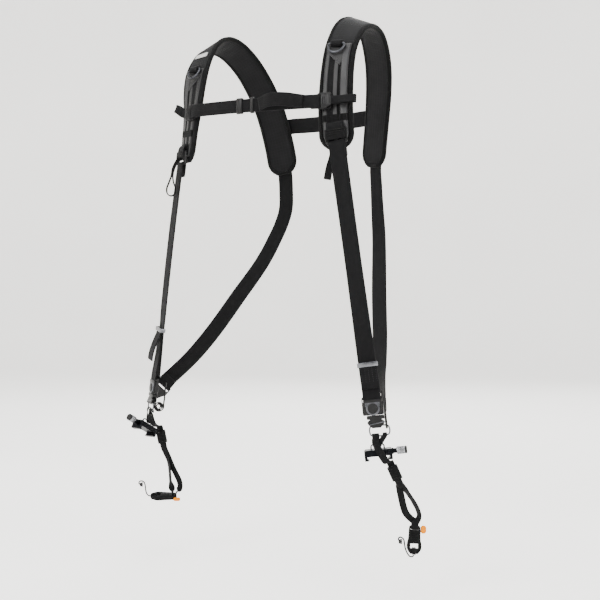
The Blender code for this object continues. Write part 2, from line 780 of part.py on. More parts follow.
def connector(prefix, side):
    place = hip(side)
    rail = (BODY_W - WEB_W) / 2 - 2 * GAP
    xs = (-BODY_W / 2, -BODY_W / 2 + rail, BODY_W / 2 - rail, BODY_W / 2)
    ys = (-BODY_LOW, BODY_TOP - BODY_BAR - BODY_SLOT, BODY_TOP - BODY_BAR, BODY_TOP)

    def not_slot(i, j):
        return not (i == 1 and j == 1)

    body = add(
        prefix + "connector_body",
        lambda bm: grid_plate(bm, xs, ys, not_slot, -BODY_T / 2, BODY_T / 2, BODY_CORNER),
        "plastic",
        place,
    )
    shell_top = BODY_TOP - BODY_BAR - BODY_SLOT - 0.0008
    shell_end = -BODY_LOW + GAP
    shell = [(-SHELL_W / 2, shell_top), (-SHELL_W / 2, SHELL_WAIST), (-SHELL_END_W / 2, shell_end)]
    shell += [(-x, y) for x, y in reversed(shell)]
    cut(
        body,
        prefix + "connector_shell_guide",
        place,
        lambda bm: prism(bm, shell, -SHELL_T / 2, SHELL_T / 2, 0.0008),
        "UNION",
    )
    face = SHELL_T / 2 + GAP

    def plate(bm):
        outer, inner = [], []
        count = 24
        top = shell_top + 0.0004
        for k in range(count):
            a = 2 * math.pi * k / count
            r = PLATE_R
            if math.sin(a) > 0.3:
                r = min(top / math.sin(a), PLATE_EAR / max(abs(math.cos(a)), 1e-6))
            outer.append((r * math.cos(a), r * math.sin(a)))
            inner.append(((BUTTON_R + GAP) * math.cos(a), (BUTTON_R + GAP) * math.sin(a)))
        low_out = [(x, y, face) for x, y in outer]
        high_out = [(x * 0.97, y * 0.97, face + PLATE_T) for x, y in outer]
        low_in = [(x, y, face) for x, y in inner]
        high_in = [(x, y, face + PLATE_T) for x, y in inner]
        sweep(bm, [low_out, high_out, high_in, low_in], closed=True)

    add(prefix + "connector_plate", plate, "gunmetal", place)

    def button(bm):
        rings = []
        for radius, height in ((1.0, 0.0), (1.0, 0.55), (0.9, 0.8), (0.6, 0.95), (0.25, 1.0)):
            ring = []
            for k in range(16):
                a = 2 * math.pi * (k + 0.5) / 16
                reach = radius * BUTTON_R * 0.985
                ring.append((reach * math.cos(a), reach * math.sin(a), face + height * BUTTON_H))
            rings.append(ring)
        sweep(bm, rings)

    add(prefix + "push_button", button, "plastic", place)

    yoke_top = -BODY_LOW - GAP
    left = [(-half * BODY_W, yoke_top - down * YOKE_L) for down, half in YOKE_ROWS]
    right = [(-x, y) for x, y in reversed(left)]
    yoke_place = place @ Matrix.Translation((side * RING_SHIFT * 0.4, 0, 0))
    yoke = add(
        prefix + "connector_yoke",
        lambda bm: prism(bm, left + right, -YOKE_T / 2, YOKE_T / 2, 0.0012),
        "plastic",
        yoke_place,
    )
    bar = place @ Matrix.Translation((0, -RING_DROP, 0))
    cut(yoke, prefix + "yoke_eye_guide", bar, lambda bm: turned(bm, ((EYE_R, -0.03), (EYE_R, 0.03)), 12))
    ring_place = place @ Matrix.Translation((side * RING_SHIFT, 0, 0))
    wire(prefix + "connector_ring", ring_place, ring_points(), WIRE_R, "steel", sides=6)


LINK_IN = BODY_W / 2 + LINK_T / 2 + GAP * 2


def link_place(side):
    # the back link hangs on the ring's bar beside the connector and leans back along its strap
    base = hip(side)
    lean = math.radians(LINK_LEAN)
    up = axis(base, 1) * math.cos(lean) - axis(base, 2) * math.sin(lean)
    across = -(axis(base, 2) * math.cos(lean) + axis(base, 1) * math.sin(lean))
    return frame(at(base, side * LINK_IN, -RING_DROP, 0), across, up)


LINK_BAR_Y = LINK_L - LOCK_BAR / 2


def back_link(prefix, side):
    place = link_place(side)
    half = WEB_W / 2 + 0.0022
    eye = EYE_R + 0.0017
    outline = [(-half, LINK_L), (-half, LINK_L * 0.66), (-eye * 1.1, LINK_L * 0.2)]
    outline += [(-eye, 0.0), (-eye * 0.5, -eye)]
    outline += [(-x, y) for x, y in reversed(outline)]
    made = add(
        prefix + "back_link",
        lambda bm: prism(bm, outline, -LINK_T / 2, LINK_T / 2, LINK_CHAMFER),
        "plastic",
        place,
    )
    slot_w = WEB_W / 2 + 2 * GAP
    top = LINK_L - LOCK_BAR
    slot = [(-slot_w, top), (-slot_w, top - LINK_SLOT), (slot_w, top - LINK_SLOT), (slot_w, top)]
    cut(made, prefix + "link_slot_guide", place, lambda bm: prism(bm, slot, -0.01, 0.01))
    eye_at = hip(side) @ Matrix.Translation((0, -RING_DROP, 0))
    cut(made, prefix + "link_eye_guide", eye_at, lambda bm: turned(bm, ((EYE_R, -0.03), (EYE_R, 0.03)), 12))


# Harness straps


def blend_across(a, b, t):
    return (Vector(a).lerp(Vector(b), t)).normalized()


def front_rows(side):
    # from the tail behind the ladder lock, over its lower bar, down to the connector and back up
    lock = lock_place(side)
    low = -(LOCK_H - LOCK_BAR) / 2
    stand = LOCK_T / 2 + WEB_STAND
    rows = []
    path = [(low - LOCK_TAIL_L, -stand + 0.0008), (low - LOCK_TAIL_L * 0.4, -stand)]
    path += [(low + y, -z) for y, z in wrap(LOCK_BAR / 2, LOCK_T / 2, WEB_STAND)]
    for y, z in path:
        rows.append((at(lock, 0, y, z), axis(lock, 0)))
    start = at(lock, 0, low - 0.004, stand)
    rows.append((start, axis(lock, 0)))
    base = hip(side)
    bar_y = BODY_TOP - BODY_BAR / 2
    depth = BODY_T / 2 + WEB_STAND
    end = at(base, 0, bar_y + 0.006, -depth)
    out = axis(base, 2) * STRAP_BOW
    own_turn = axis(facing(start, side * STRAP_TURN[side]), 0)
    for along, bow, own, to_hip in FRONT_RUN:
        p = start.lerp(end, along) + out * bow
        across = axis(lock, 0) * (1 - own - to_hip) + own_turn * own + axis(base, 0) * to_hip
        rows.append((p, across.normalized()))
    rows.append((end, axis(base, 0)))
    under = [(bar_y - y, -z) for y, z in wrap(BODY_BAR / 2, BODY_T / 2, WEB_STAND)]
    for y, z in under:
        rows.append((at(base, 0, y, z), axis(base, 0)))
    return rows, start, end, out


def strap_slider_place(side):
    # halfway through the layers, square to the strap
    rows, start, end, out = front_rows(side)
    base = hip(side)
    run = (start - end).normalized()
    up = SLIDER_UP[side]
    along = 1.0 - up / (start - end).length
    table = [(0.0, 0.0)] + [(a, b) for a, b, _, _ in FRONT_RUN] + [(1.0, 0.0)]
    for (a0, b0), (a1, b1) in zip(table, table[1:]):
        if a0 <= along <= a1:
            bow = b0 + (b1 - b0) * (along - a0) / (a1 - a0)
    on_strap = start.lerp(end, along) + out * bow
    return frame(on_strap, axis(base, 0), run)


SLIDER_ROOM = 3 * WEB_T + 2 * LAYER_GAP + 2 * GAP


def front_strap(prefix, side):
    rows, start, end, out = front_rows(side)
    base = hip(side)
    place = strap_slider_place(side)
    across = axis(base, 0)
    # the main layer passes the slider straight
    main = list(rows)
    first = next(k for k, (p, _) in enumerate(main) if (p - start).length < 1e-9)
    last = next(k for k, (p, _) in enumerate(main) if (p - end).length < 1e-9)
    straight = SLIDER_BAR
    gates = [(at(place, 0, straight, 0), across), (at(place, 0, -straight, 0), across)]
    between = []
    for p, a in main[first + 1 : last]:
        if abs((p - place.to_translation()).dot(axis(place, 1))) > straight * 1.6:
            between.append((p, a))
    between += gates
    between.sort(key=lambda row: -(row[0] - end).dot((start - end).normalized()))
    main = main[: first + 1] + between + main[last:]
    # the return layer climbs from the connector's bar to the slider, in front of the main layer
    lift = WEB_T + LAYER_GAP
    depth = BODY_T / 2 + WEB_STAND
    bar_y = BODY_TOP - BODY_BAR / 2
    front = at(base, 0, bar_y + 0.006, depth)
    back = []
    below = [row for row in between if (row[0] - at(place, 0, -straight, 0)).dot(axis(place, 1)) < -1e-6]
    reach = max((at(place, 0, -straight, 0) - end).length, 1e-6)
    back.append((front, across))
    for p, a in reversed(below):
        t = (p - end).length / reach
        extra = lift + (2 * depth - lift) * max(0.0, 1.0 - t * 1.6)
        back.append((p + axis(base, 2) * extra, across))
    back.append((at(place, 0, -straight, lift), across))
    radius = lift / 2
    top = SLIDER_BAR * 0.1
    for y, z in half_turn(radius, 4):
        back.append((at(place, 0, top + y, lift + radius - z), across))
    # the tail comes down in front and stands off by its bow
    tail = TAIL_L[side]
    bow = TAIL_BOW[side]
    back.append((at(place, 0, -SLIDER_BAR * 0.6, 2 * lift), across))
    for share, off in TAIL_ROWS:
        down = SLIDER_BAR * 0.6 + tail * share
        back.append((at(place, 0, -down, 2 * lift + depth * share + bow * off), across))
    band(prefix + "front_webbing", main + back, WEB_W, WEB_T)
    slider_place = place @ Matrix.Translation((0, 0, lift))
    sleeve(
        prefix + "strap_slider",
        slider_place,
        WEB_W + 4 * GAP,
        SLIDER_ROOM,
        SLIDER_WALL,
        SLIDER_BAR,
        "steel",
    )


def back_strap(prefix, side):
    stand = PAD_T / 2 + WEB_STAND
    sewn = pad_at(side, PAD_LENGTH - SEWN_L)
    edge = pad_at(side, PAD_LENGTH)
    link = link_place(side)
    depth = LINK_T / 2 + WEB_STAND
    # the band's across direction starts opposite to the pad's, since it is followed downwards
    rows = [(at(sewn, 0, 0, stand), axis(sewn, 0)), (at(edge, 0, 0, stand), axis(edge, 0))]
    start = at(edge, 0, 0, stand)
    end = at(link, 0, LINK_BAR_Y + 0.004, side * depth)
    for sx, sy, sz, left_turn, right_turn in BACK_RUN:
        p = Vector(
            (
                start.x + (end.x - start.x) * sx,
                start.y + (end.y - start.y) * sy,
                start.z + (end.z - start.z) * sz,
            )
        )
        a = math.radians(left_turn if side > 0 else right_turn)
        across = Vector((-math.cos(a), -side * math.sin(a), 0))
        rows.append((p, across))
    turn_across = -side * axis(link, 0)
    if turn_across.dot(rows[-1][1]) < 0:
        turn_across = -turn_across
    rows.append((end, turn_across))
    free = smooth_rows(rows[1:], 2)
    bend = wrap(LOCK_BAR / 2, LINK_T / 2, WEB_STAND)
    under = [(at(link, 0, LINK_BAR_Y - y, side * z), turn_across) for y, z in bend]
    back = ((0.006, 0), (0.016, 0.0012))
    over = [(at(link, 0, LINK_BAR_Y + y, -side * (depth - off)), turn_across) for y, off in back]
    smooth = rows[:1] + free + under + over
    band(prefix + "back_webbing", smooth, WEB_W, WEB_T)


def cross_strap():
    stand = PAD_T / 2 + WEB_STAND
    rows = []
    for side in (1, -1):
        place = pad_at(side, PAD_LENGTH - CROSS_UP)
        ends = [at(place, side * 0.016, 0, stand), at(place, -side * PAD_W / 2, 0, stand)]
        middle = [(p, axis(place, 1)) for p in ends]
        if side < 0:
            middle = [(p, a) for p, a in reversed(middle)]
        rows.append(middle)
    left, right = rows
    a = left[-1][0]
    b = right[0][0]
    between = []
    for share in (0.2, 0.4, 0.6, 0.8):
        p = a.lerp(b, share) + Vector((0, CROSS_BOW * 4 * share * (1 - share), 0))
        between.append((p, Vector(left[-1][1]).lerp(Vector(right[0][1]), share)))
    band("back_cross_strap", left + between + right, WEB_W, WEB_T)


def pad_tail(prefix, side):
    tip = pad_at(side, 0.0)
    start = at(tip, *PAD_TAIL_AT[side])
    rows = []
    if side > 0:
        for over, down, out in FLAT_TAIL:
            p = start + axis(tip, 0) * over + Vector((0, 0, down)) + axis(tip, 2) * out
            rows.append((p, axis(tip, 0)))
        band(prefix + "pad_tail", rows, TAIL_W, WEB_T)
        return
    # a teardrop: down one layer, round the open loop and back up beside the first
    look = facing((0, 0, 0), VIEW_TURN)
    for x, y in LOOPED_TAIL:
        p = start + axis(look, 0) * x + Vector((0, 0, y))
        rows.append((p, axis(look, 2)))
    band(prefix + "pad_tail", rows, TAIL_W, WEB_T)


# Chest band


def sternum_place(side):
    # the lock lies over the inner half of the pad, its bars along the pad
    pad = pad_at(side, STERNUM_UP[side])
    inward = at(pad, -side * STERNUM_LOCK_IN, 0, over_panel(LOCK_T / 2) + STERNUM_LIFT)
    return frame(inward, -axis(pad, 1), side * axis(pad, 0))


def sternum_lock(prefix, side):
    # in the lock's own place x runs along the pad and y runs outwards from the chest
    place = sternum_place(side)
    bars = (
        (STERNUM_LOCK_W / 2 - LOCK_BAR, STERNUM_LOCK_W / 2),
        (-STERNUM_LOCK_W / 2, -STERNUM_LOCK_W / 2 + LOCK_BAR),
    )
    rail = (STERNUM_LOCK_H - STERNUM_W) / 2 - 2 * GAP
    slotted(
        prefix + "sternum_lock",
        place,
        STERNUM_LOCK_H,
        STERNUM_LOCK_W,
        LOCK_T,
        bars,
        rail,
        "plastic",
        STERNUM_LOCK_CORNER,
    )
    # a closed loop round the outer bar and on past the pad's outer edge
    face = 1 if axis(place, 2).dot(axis(pad_at(side, STERNUM_UP[side]), 2)) > 0 else -1
    bar = (STERNUM_LOCK_W - LOCK_BAR) / 2
    far = PAD_W / 2 + STERNUM_LOCK_IN + LOOP_REACH[side] - 0.002
    stand = LOCK_T / 2 + WEB_STAND
    path = [(bar - y, -z) for y, z in wrap(LOCK_BAR / 2, LOCK_T / 2, WEB_STAND)]
    path += [(bar + 0.010, stand), (bar + 0.018, stand * 0.7)]
    path += [(far + y, z - (stand - 0.0026)) for y, z in half_turn(0.0026, 4)]
    path += [(bar + 0.018, -stand), (bar + 0.010, -stand)]
    rows = []
    for y, z in path:
        share = max(0.0, (y - bar - 0.010) / (far - bar))
        stand_off = LOOP_OUT[side] * share + LOOP_LIFT * min(1.0, share * 8)
        rows.append((at(place, -LOOP_RISE[side] * share, y, face * (z + stand_off)), axis(place, 0)))
    band(prefix + "sternum_loop", rows, LOOP_W, WEB_T, closed=True)


def sternum_line():
    # the band's own line from the right lock to the left lock, as (point, across)
    ends = {}
    stand = LOCK_T / 2 + WEB_STAND
    bar = -(STERNUM_LOCK_W - LOCK_BAR) / 2
    for side in (1, -1):
        place = sternum_place(side)
        pad = pad_at(side, STERNUM_UP[side])
        face = 1 if axis(place, 2).dot(axis(pad, 2)) > 0 else -1
        up = axis(pad, 1)
        turn = [(bar + y, z) for y, z in wrap(LOCK_BAR / 2, LOCK_T / 2, WEB_STAND)]
        under = [(bar - STERNUM_TURN_L, -stand + 0.0004)] + [(y, -z) for y, z in turn]
        over = (bar - 0.006, stand)
        ends[side] = (
            [(at(place, 0, y, face * z), up) for y, z in under],
            (at(place, 0, over[0], face * over[1]), up),
        )
    return ends


def chest_point(x):
    # a point of the band's main layer over the chest at a given x
    ends = sternum_line()
    a = ends[-1][1][0]
    b = ends[1][1][0]
    t = (x - a.x) / (b.x - a.x)
    bow = CHEST_BOW * 4 * t * (1 - t)
    return a.lerp(b, t) - Vector((0, bow, 0))


def chest_place(x):
    p = chest_point(x)
    ahead = chest_point(x + 0.002) - chest_point(x - 0.002)
    return frame(p, ahead, Vector((0, 0, 1)))


def chest_band():
    ends = sternum_line()
    right_turn, right_over = ends[-1]
    left_turn, left_over = ends[1]
    stations = sorted([-0.088, -0.066, -0.044, -0.012, 0.010, 0.034, 0.056, 0.078])
    stations += [KEEPER_X - KEEPER_L, KEEPER_X + KEEPER_L, SLIDER_X - SLIDER_L, SLIDER_X + SLIDER_L]
    stations = sorted(x for x in set(stations) if not KEEPER_X - KEEPER_L < x < KEEPER_X + KEEPER_L)
    stations = [x for x in stations if not SLIDER_X - SLIDER_L < x < SLIDER_X + SLIDER_L]
    rows = right_turn + [right_over]
    rows += [(chest_point(x), axis(chest_place(x), 1)) for x in stations]
    rows += [left_over] + list(reversed(left_turn))
    rows = [(p, a if Vector(a).z > 0 else -Vector(a)) for p, a in rows]
    band("sternum_webbing", rows, STERNUM_W, WEB_T)
    for name, x, length in (("sternum_keeper", KEEPER_X, KEEPER_L), ("sternum_slider", SLIDER_X, SLIDER_L)):
        place = chest_place(x)
        turned_place = frame(place.to_translation(), axis(place, 1), -axis(place, 0))
        sleeve(name, turned_place, STERNUM_W + 4 * GAP, WEB_T + 4 * GAP, SLEEVE_WALL, length, "plastic")


def chest_bow():
    rows = []
    for along, out, up in BOW_ROWS:
        x = BOW_FROM + (BOW_TO - BOW_FROM) * along
        place = chest_place(x)
        stand = WEB_T + GAP * 2 + BOW_OUT * out
        p = at(place, 0, BOW_UP * up, stand)
        rows.append((p, axis(place, 1)))
    fine = catmull([(*p, *a) for p, a in rows], 2)
    rows = [(Vector(r[:3]), Vector(r[3:]).normalized()) for r in fine]
    band("sternum_bow", rows, STERNUM_W, WEB_T)


# Clamps


def clamp_place(side):
    # x runs along the screw towards the knob, y up from the seat, z across the clamp
    turn = math.radians(CLAMP_TURN[side])
    tilt = math.radians(CLAMP_TILT[side])
    along = Vector((math.cos(turn) * math.cos(tilt), math.sin(turn) * math.cos(tilt), math.sin(tilt)))
    up = Vector((-math.cos(turn) * math.sin(tilt), -math.sin(turn) * math.sin(tilt), math.cos(tilt)))
    return frame(CLAMP_AT[side], along, up)


SCREW_Y = CLAMP_H * 0.5
JAW_FROM = CLAMP_L / 2 - JAW_L


def clamp(prefix, side):
    place = clamp_place(side)
    low = -CLAMP_L / 2
    half = CLAMP_D / 2
    body_end = JAW_FROM - GAP
    body = [
        (low, CLAMP_H * 0.75),
        (low, -LIP_H),
        (low + LIP_L + LIP_UNDER, -LIP_H),
        (low + LIP_L, -LIP_STEP),
        (low + LIP_L, 0.0),
        (body_end, 0.0),
        (body_end, CLAMP_H),
        (low + CLAMP_H * 0.25, CLAMP_H),
    ]

    def extrude(outline, inset):
        def make(bm):
            rings = []
            for z, shift in ((-half, inset), (-half + 0.001, 0.0), (half - 0.001, 0.0), (half, inset)):
                ring = []
                for x, y in outline:
                    ring.append((x, y - shift if y > CLAMP_H * 0.5 else y, z))
                rings.append(ring)
            sweep(bm, rings)

        return make

    main = add(prefix + "clamp_body", extrude(body, 0.0008), "clamp", place)
    # the fixed bail on top, a bent wire joined to the body
    corners = rounded(BAIL_W / 2, CLAMP_H - 0.004, CLAMP_H + BAIL_H, BAIL_CORNER)[6:]
    arch = [(corners[0][0], CLAMP_H - 0.002)] + corners[:6] + [(corners[5][0], CLAMP_H - 0.002)]
    arch = [(x, y, 0.0) for x, y in arch]
    rings = tube_rings(arch, BAIL_R, 6, False)
    cut(main, prefix + "bail_guide", place, lambda bm: sweep(bm, rings), "UNION")
    bore = SCREW_R + GAP
    cut(
        main,
        prefix + "body_bore_guide",
        place @ Matrix.Translation((0, SCREW_Y, 0)),
        lambda bm: turned(bm, ((bore * 1.04, CLAMP_L / 2 - SCREW_L - 0.004), (bore * 1.04, CLAMP_L)), 12),
    )
    jaw = [
        (JAW_FROM, CLAMP_H),
        (JAW_FROM, 0.0),
        (CLAMP_L / 2 - LIP_L, 0.0),
        (CLAMP_L / 2 - LIP_L, -LIP_STEP),
        (CLAMP_L / 2 - LIP_L - LIP_UNDER, -LIP_H),
        (CLAMP_L / 2, -LIP_H),
        (CLAMP_L / 2, CLAMP_H),
    ]
    moving = add(prefix + "clamp_jaw", extrude(jaw, 0.0008), "clamp", place)
    cut(
        moving,
        prefix + "jaw_bore_guide",
        place @ Matrix.Translation((0, SCREW_Y, 0)),
        lambda bm: turned(bm, ((bore * 1.04, 0.0), (bore * 1.04, CLAMP_L)), 12),
    )
    face = CLAMP_L / 2 + GAP
    profile = (
        (SCREW_R, face - GAP - SCREW_L),
        (SCREW_R, face),
        (COLLAR_R, face),
        (COLLAR_R, face + COLLAR_L),
        (NECK_R, face + COLLAR_L),
        (NECK_R, face + COLLAR_L + NECK_L),
        (KNOB_R * 0.90, face + COLLAR_L + NECK_L),
        (KNOB_R, face + COLLAR_L + NECK_L + 0.0008),
        (KNOB_R, face + COLLAR_L + NECK_L + KNOB_L - 0.0008),
        (KNOB_R * 0.90, face + COLLAR_L + NECK_L + KNOB_L),
    )
    knob_place = place @ Matrix.Translation((0, SCREW_Y, 0))
    add(prefix + "clamp_knob", lambda bm: turned(bm, profile, 16), "steel", knob_place)


def hanger(prefix, side):
    # a flat closed loop of webbing from the ring's lower run to the clamp's bail, turning on the way
    base = hip(side)
    run = at(base, side * (RING_SHIFT + HANGER_AT), -RING_DROP - RING_H, 0)
    clamp_at = clamp_place(side)
    high_x = axis(base, 0)
    low_x = axis(clamp_at, 0)
    if low_x.dot(high_x) < 0:
        low_x = -low_x
    bail = at(clamp_at, 0, CLAMP_H + BAIL_H, 0) + low_x * side * HANGER_LOW
    up = (run - bail).normalized()
    top = frame(run, high_x, up - high_x * up.dot(high_x))
    low = frame(bail, low_x, up - low_x * up.dot(low_x))
    radius = WIRE_R + HANGER_ROOM + HANGER_T / 2
    down, back = [], []
    for share in (0.7, 0.5, 0.3):
        turned_x = blend_across(low_x, high_x, share)
        between = frame(bail.lerp(run, share), turned_x, up - turned_x * up.dot(turned_x))
        down.append((at(between, 0, 0, -radius), turned_x))
        back.append((at(between, 0, 0, radius), turned_x))
    rows = [(at(top, 0, y, z), high_x) for y, z in half_turn(radius, 6)] + down
    rows += [(at(low, 0, -y, -z), low_x) for y, z in half_turn(radius, 6)] + back[::-1]
    band(prefix + "hanger", rows, HANGER_W, HANGER_T, closed=True)


# Tethers


def tether_slider_place(side):
    look = facing(TETHER_SLIDER_AT[side], VIEW_TURN)
    lean = math.radians(TETHER_SLIDER_LEAN[side])
    down = axis(look, 0) * math.sin(lean) - axis(look, 1) * math.cos(lean)
    across = axis(look, 0) * math.cos(lean) + axis(look, 1) * math.sin(lean)
    return frame(TETHER_SLIDER_AT[side], across, -down)


def block_place(side):
    # y runs from the block's strap end to its cord end, x across it, z out of its face
    look = facing((0, 0, 0), VIEW_TURN)
    aim = math.radians(LINK_AIM[side])
    along = axis(look, 0) * math.cos(aim) + axis(look, 1) * math.sin(aim)
    across = axis(look, 0) * math.sin(aim) - axis(look, 1) * math.cos(aim)
    return frame(LINK_AT[side], across, along) @ Matrix.Rotation(math.radians(LINK_ROLL[side]), 4, "Y")


def tether(prefix, side):
    base = hip(side)
    slider = tether_slider_place(side)
    block = block_place(side)
    lift = TETHER_T + LAYER_GAP
    # upper end: round the ring's lower run beside the hanger
    ring_at = base @ Matrix.Translation((side * (RING_SHIFT + TETHER_AT), -RING_DROP - RING_H, 0))
    radius = WIRE_R + GAP * 2 + TETHER_T / 2
    rows = [(at(ring_at, 0, -TETHER_END_L, -radius), axis(base, 0))]
    rows += [(at(ring_at, 0, y, -z), axis(base, 0)) for y, z in half_turn(radius, 6)]
    free = [(at(ring_at, 0, -0.004, radius), axis(base, 0))]
    for p in TETHER_OVER[side]:
        free.append((Vector(p), blend_across(axis(base, 0), axis(slider, 0), 0.6)))
    top = TETHER_SLIDER_L / 2 + 0.003
    free.append((at(slider, 0, top + 0.003, -lift / 2), axis(slider, 0)))
    rows += smooth_rows(free, 2)
    rows.append((at(slider, 0, top - 0.002, -lift / 2), axis(slider, 0)))
    rows.append((at(slider, 0, -top + 0.001, -lift / 2), axis(slider, 0)))
    down_turn = blend_across(axis(slider, 0), axis(slider, 2), TETHER_DOWN_TURN[side])
    stand = LINK_BLOCK_T / 2 + GAP + TETHER_T / 2
    bar = -LINK_BLOCK_L / 2 + LINK_BAR / 2
    block_across = axis(block, 0)
    if block_across.dot(axis(slider, 0)) < 0:
        block_across = -block_across
    down = [(at(slider, 0, -top - 0.003, -lift / 2), axis(slider, 0))]
    down += [(Vector(p), down_turn) for p in TETHER_DOWN[side]]
    lead = LINK_LEAD[side]
    hug = GAP + TETHER_T / 2
    if side > 0:
        # round the bar from the face behind to the face in front
        turn = [(y, -z) for y, z in wrap(LINK_BAR / 2, LINK_BLOCK_T / 2, hug)]
        arrive, leave = (-lead, -stand), (-lead, stand)
    else:
        # down through the slot, under the bar and up past the block's end
        turn = [(z, -y) for y, z in wrap(LINK_BLOCK_T / 2, LINK_BAR / 2, hug)]
        arrive, leave = (turn[0][0], stand + lead), (turn[-1][0] - 3 * GAP, stand + lead)
    down.append((at(block, 0, bar + arrive[0], arrive[1]), block_across))
    rows += smooth_rows(down, 2)
    rows += [(at(block, 0, bar + y, z), block_across) for y, z in turn]
    up = [(at(block, 0, bar + leave[0], leave[1]), block_across)]
    up_turn = blend_across(axis(slider, 0), axis(slider, 2), TETHER_UP_TURN[side])
    up += [(Vector(p), up_turn) for p in TETHER_UP[side]]
    up.append((at(slider, 0, -top - 0.003, lift / 2), axis(slider, 0)))
    rows += smooth_rows(up, 2)
    rows.append((at(slider, 0, -top + 0.001, lift / 2), axis(slider, 0)))
    rows.append((at(slider, 0, top * 0.75, lift / 2), axis(slider, 0)))
    band(prefix + "tether_strap", rows, TETHER_W, TETHER_T)
    sleeve(
        prefix + "tether_slider",
        slider,
        TETHER_W + 4 * GAP,
        2 * TETHER_T + LAYER_GAP + 4 * GAP,
        TETHER_SLIDER_WALL,
        TETHER_SLIDER_L,
        "plastic",
    )
    half = LINK_BLOCK_L / 2
    bars = (
        (-half, -half + LINK_BAR),
        (-half + LINK_BAR + 0.0048, half * 0.25),
        (half * 0.25 + 0.0075, half),
    )
    rail = (LINK_BLOCK_W - TETHER_W) / 2 - 2 * GAP
    slotted(
        prefix + "tether_link",
        block,
        LINK_BLOCK_W,
        LINK_BLOCK_L,
        LINK_BLOCK_T,
        bars,
        rail,
        "plastic",
        LINK_BLOCK_CORNER,
    )


def lug_cord(prefix, side):
    block = block_place(side)
    look = facing((0, 0, 0), VIEW_TURN)
    end = at(block, 0, LINK_BLOCK_L / 2 + CORD_R + GAP, 0)
    route = []
    for x, y in CORD_ROUTE[side]:
        route.append(end + axis(look, 0) * x + axis(look, 1) * y)
    lift = [0.0] * (len(route) - 4) + [0.0008, 0.0016, 0.0022, 0.0028]
    route = [p + axis(look, 2) * up for p, up in zip(route, lift)]
    fine = [Vector(p) for p in catmull([tuple(p) for p in route], 3)]
    curve = bpy.data.curves.new(prefix + "lug_cord", "CURVE")
    curve.dimensions = "3D"
    curve.bevel_depth = CORD_R
    curve.bevel_resolution = 2
    curve.use_fill_caps = True
    spline = curve.splines.new("POLY")
    spline.points.add(len(fine) - 1)
    for k, p in enumerate(fine):
        spline.points[k].co = (*p, 1.0)
    made = bpy.data.objects.new(prefix + "lug_cord", curve)
    bpy.context.scene.collection.objects.link(made)
    curve.materials.append(finish_of(prefix + "lug_cord", "nylon"))


def pull_tab(prefix, side):
    block = block_place(side)
    x = TAB_IN[side] - LINK_BLOCK_W / 2 - GAP - TAB_W / 2
    place = block @ Matrix.Translation((x, -LINK_BLOCK_L / 2 + TAB_L * TAB_ALONG[side], 0))
    w = TAB_W / 2
    h = TAB_L / 2
    lower = [(-w, -h * 0.6), (-w * 0.55, -h), (w * 0.55, -h), (w, -h * 0.6)]
    outline = lower + [(x, -y) for x, y in reversed(lower)]
    add(prefix + "pull_tab", lambda bm: prism(bm, outline, -TAB_T / 2, TAB_T / 2, 0.0006), "tab", place)


def webbing_bundle():
    # spare webbing on the right, rolled up in front of the ring with its cut end standing out
    base = hip(-1)
    look = facing(at(base, *BUNDLE_AT), VIEW_TURN)
    rows = [(at(look, x, y, 0), axis(look, 2)) for x, y in BUNDLE_TAIL]
    for k in range(BUNDLE_STEPS + 1):
        share = k / BUNDLE_STEPS
        a = math.radians(20) - 2 * math.pi * BUNDLE_TURNS * share
        r = BUNDLE_R - (BUNDLE_R - BUNDLE_CORE) * share
        rows.append((at(look, r * math.cos(a), r * math.sin(a), 0), axis(look, 2)))
    band("right_webbing_bundle", rows, LOOP_W, WEB_T)


def build():
    clear_scene()
    for prefix, side in (("left_", 1), ("right_", -1)):
        shoulder_pad(prefix, side)
        pad_panel(prefix, side)
        ring_and_tab(prefix, side)
        ladder_lock(prefix, side)
        pad_tail(prefix, side)
        sternum_lock(prefix, side)
        connector(prefix, side)
        front_strap(prefix, side)
        back_link(prefix, side)
        back_strap(prefix, side)
        clamp(prefix, side)
        hanger(prefix, side)
        tether(prefix, side)
        lug_cord(prefix, side)
        pull_tab(prefix, side)
    chest_band()
    chest_bow()
    cross_strap()
    webbing_bundle()


build()
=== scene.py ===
import json
import math

import bmesh
import bpy
from mathutils import Matrix, Vector

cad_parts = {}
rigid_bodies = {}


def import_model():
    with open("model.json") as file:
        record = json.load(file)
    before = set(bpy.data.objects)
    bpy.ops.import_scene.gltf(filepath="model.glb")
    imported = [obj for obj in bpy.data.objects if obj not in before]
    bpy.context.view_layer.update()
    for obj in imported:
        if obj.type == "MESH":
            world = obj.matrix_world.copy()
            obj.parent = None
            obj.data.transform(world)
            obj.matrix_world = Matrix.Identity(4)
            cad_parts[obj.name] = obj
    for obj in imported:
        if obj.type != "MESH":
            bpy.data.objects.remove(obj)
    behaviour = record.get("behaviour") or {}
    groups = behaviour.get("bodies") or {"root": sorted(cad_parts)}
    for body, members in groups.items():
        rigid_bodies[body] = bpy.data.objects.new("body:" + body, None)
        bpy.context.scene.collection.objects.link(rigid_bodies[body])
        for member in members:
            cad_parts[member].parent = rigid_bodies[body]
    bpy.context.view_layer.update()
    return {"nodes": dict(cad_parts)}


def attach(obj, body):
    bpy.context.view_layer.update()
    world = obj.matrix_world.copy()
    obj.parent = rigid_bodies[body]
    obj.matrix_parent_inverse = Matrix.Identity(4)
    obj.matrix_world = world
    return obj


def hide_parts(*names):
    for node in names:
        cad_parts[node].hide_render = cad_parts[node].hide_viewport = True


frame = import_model()
nodes = frame["nodes"]
print("stage: frame loaded,", len(nodes), "nodes")

# The camera stands level, to the wearer's left of straight ahead
photo = {
    "turn": 35.0,
    "eye": (1.0037, -1.4335, -0.4),
    "lens": 67.74,
    "sensor": 36.0,
    "shift": 0.0233,
}


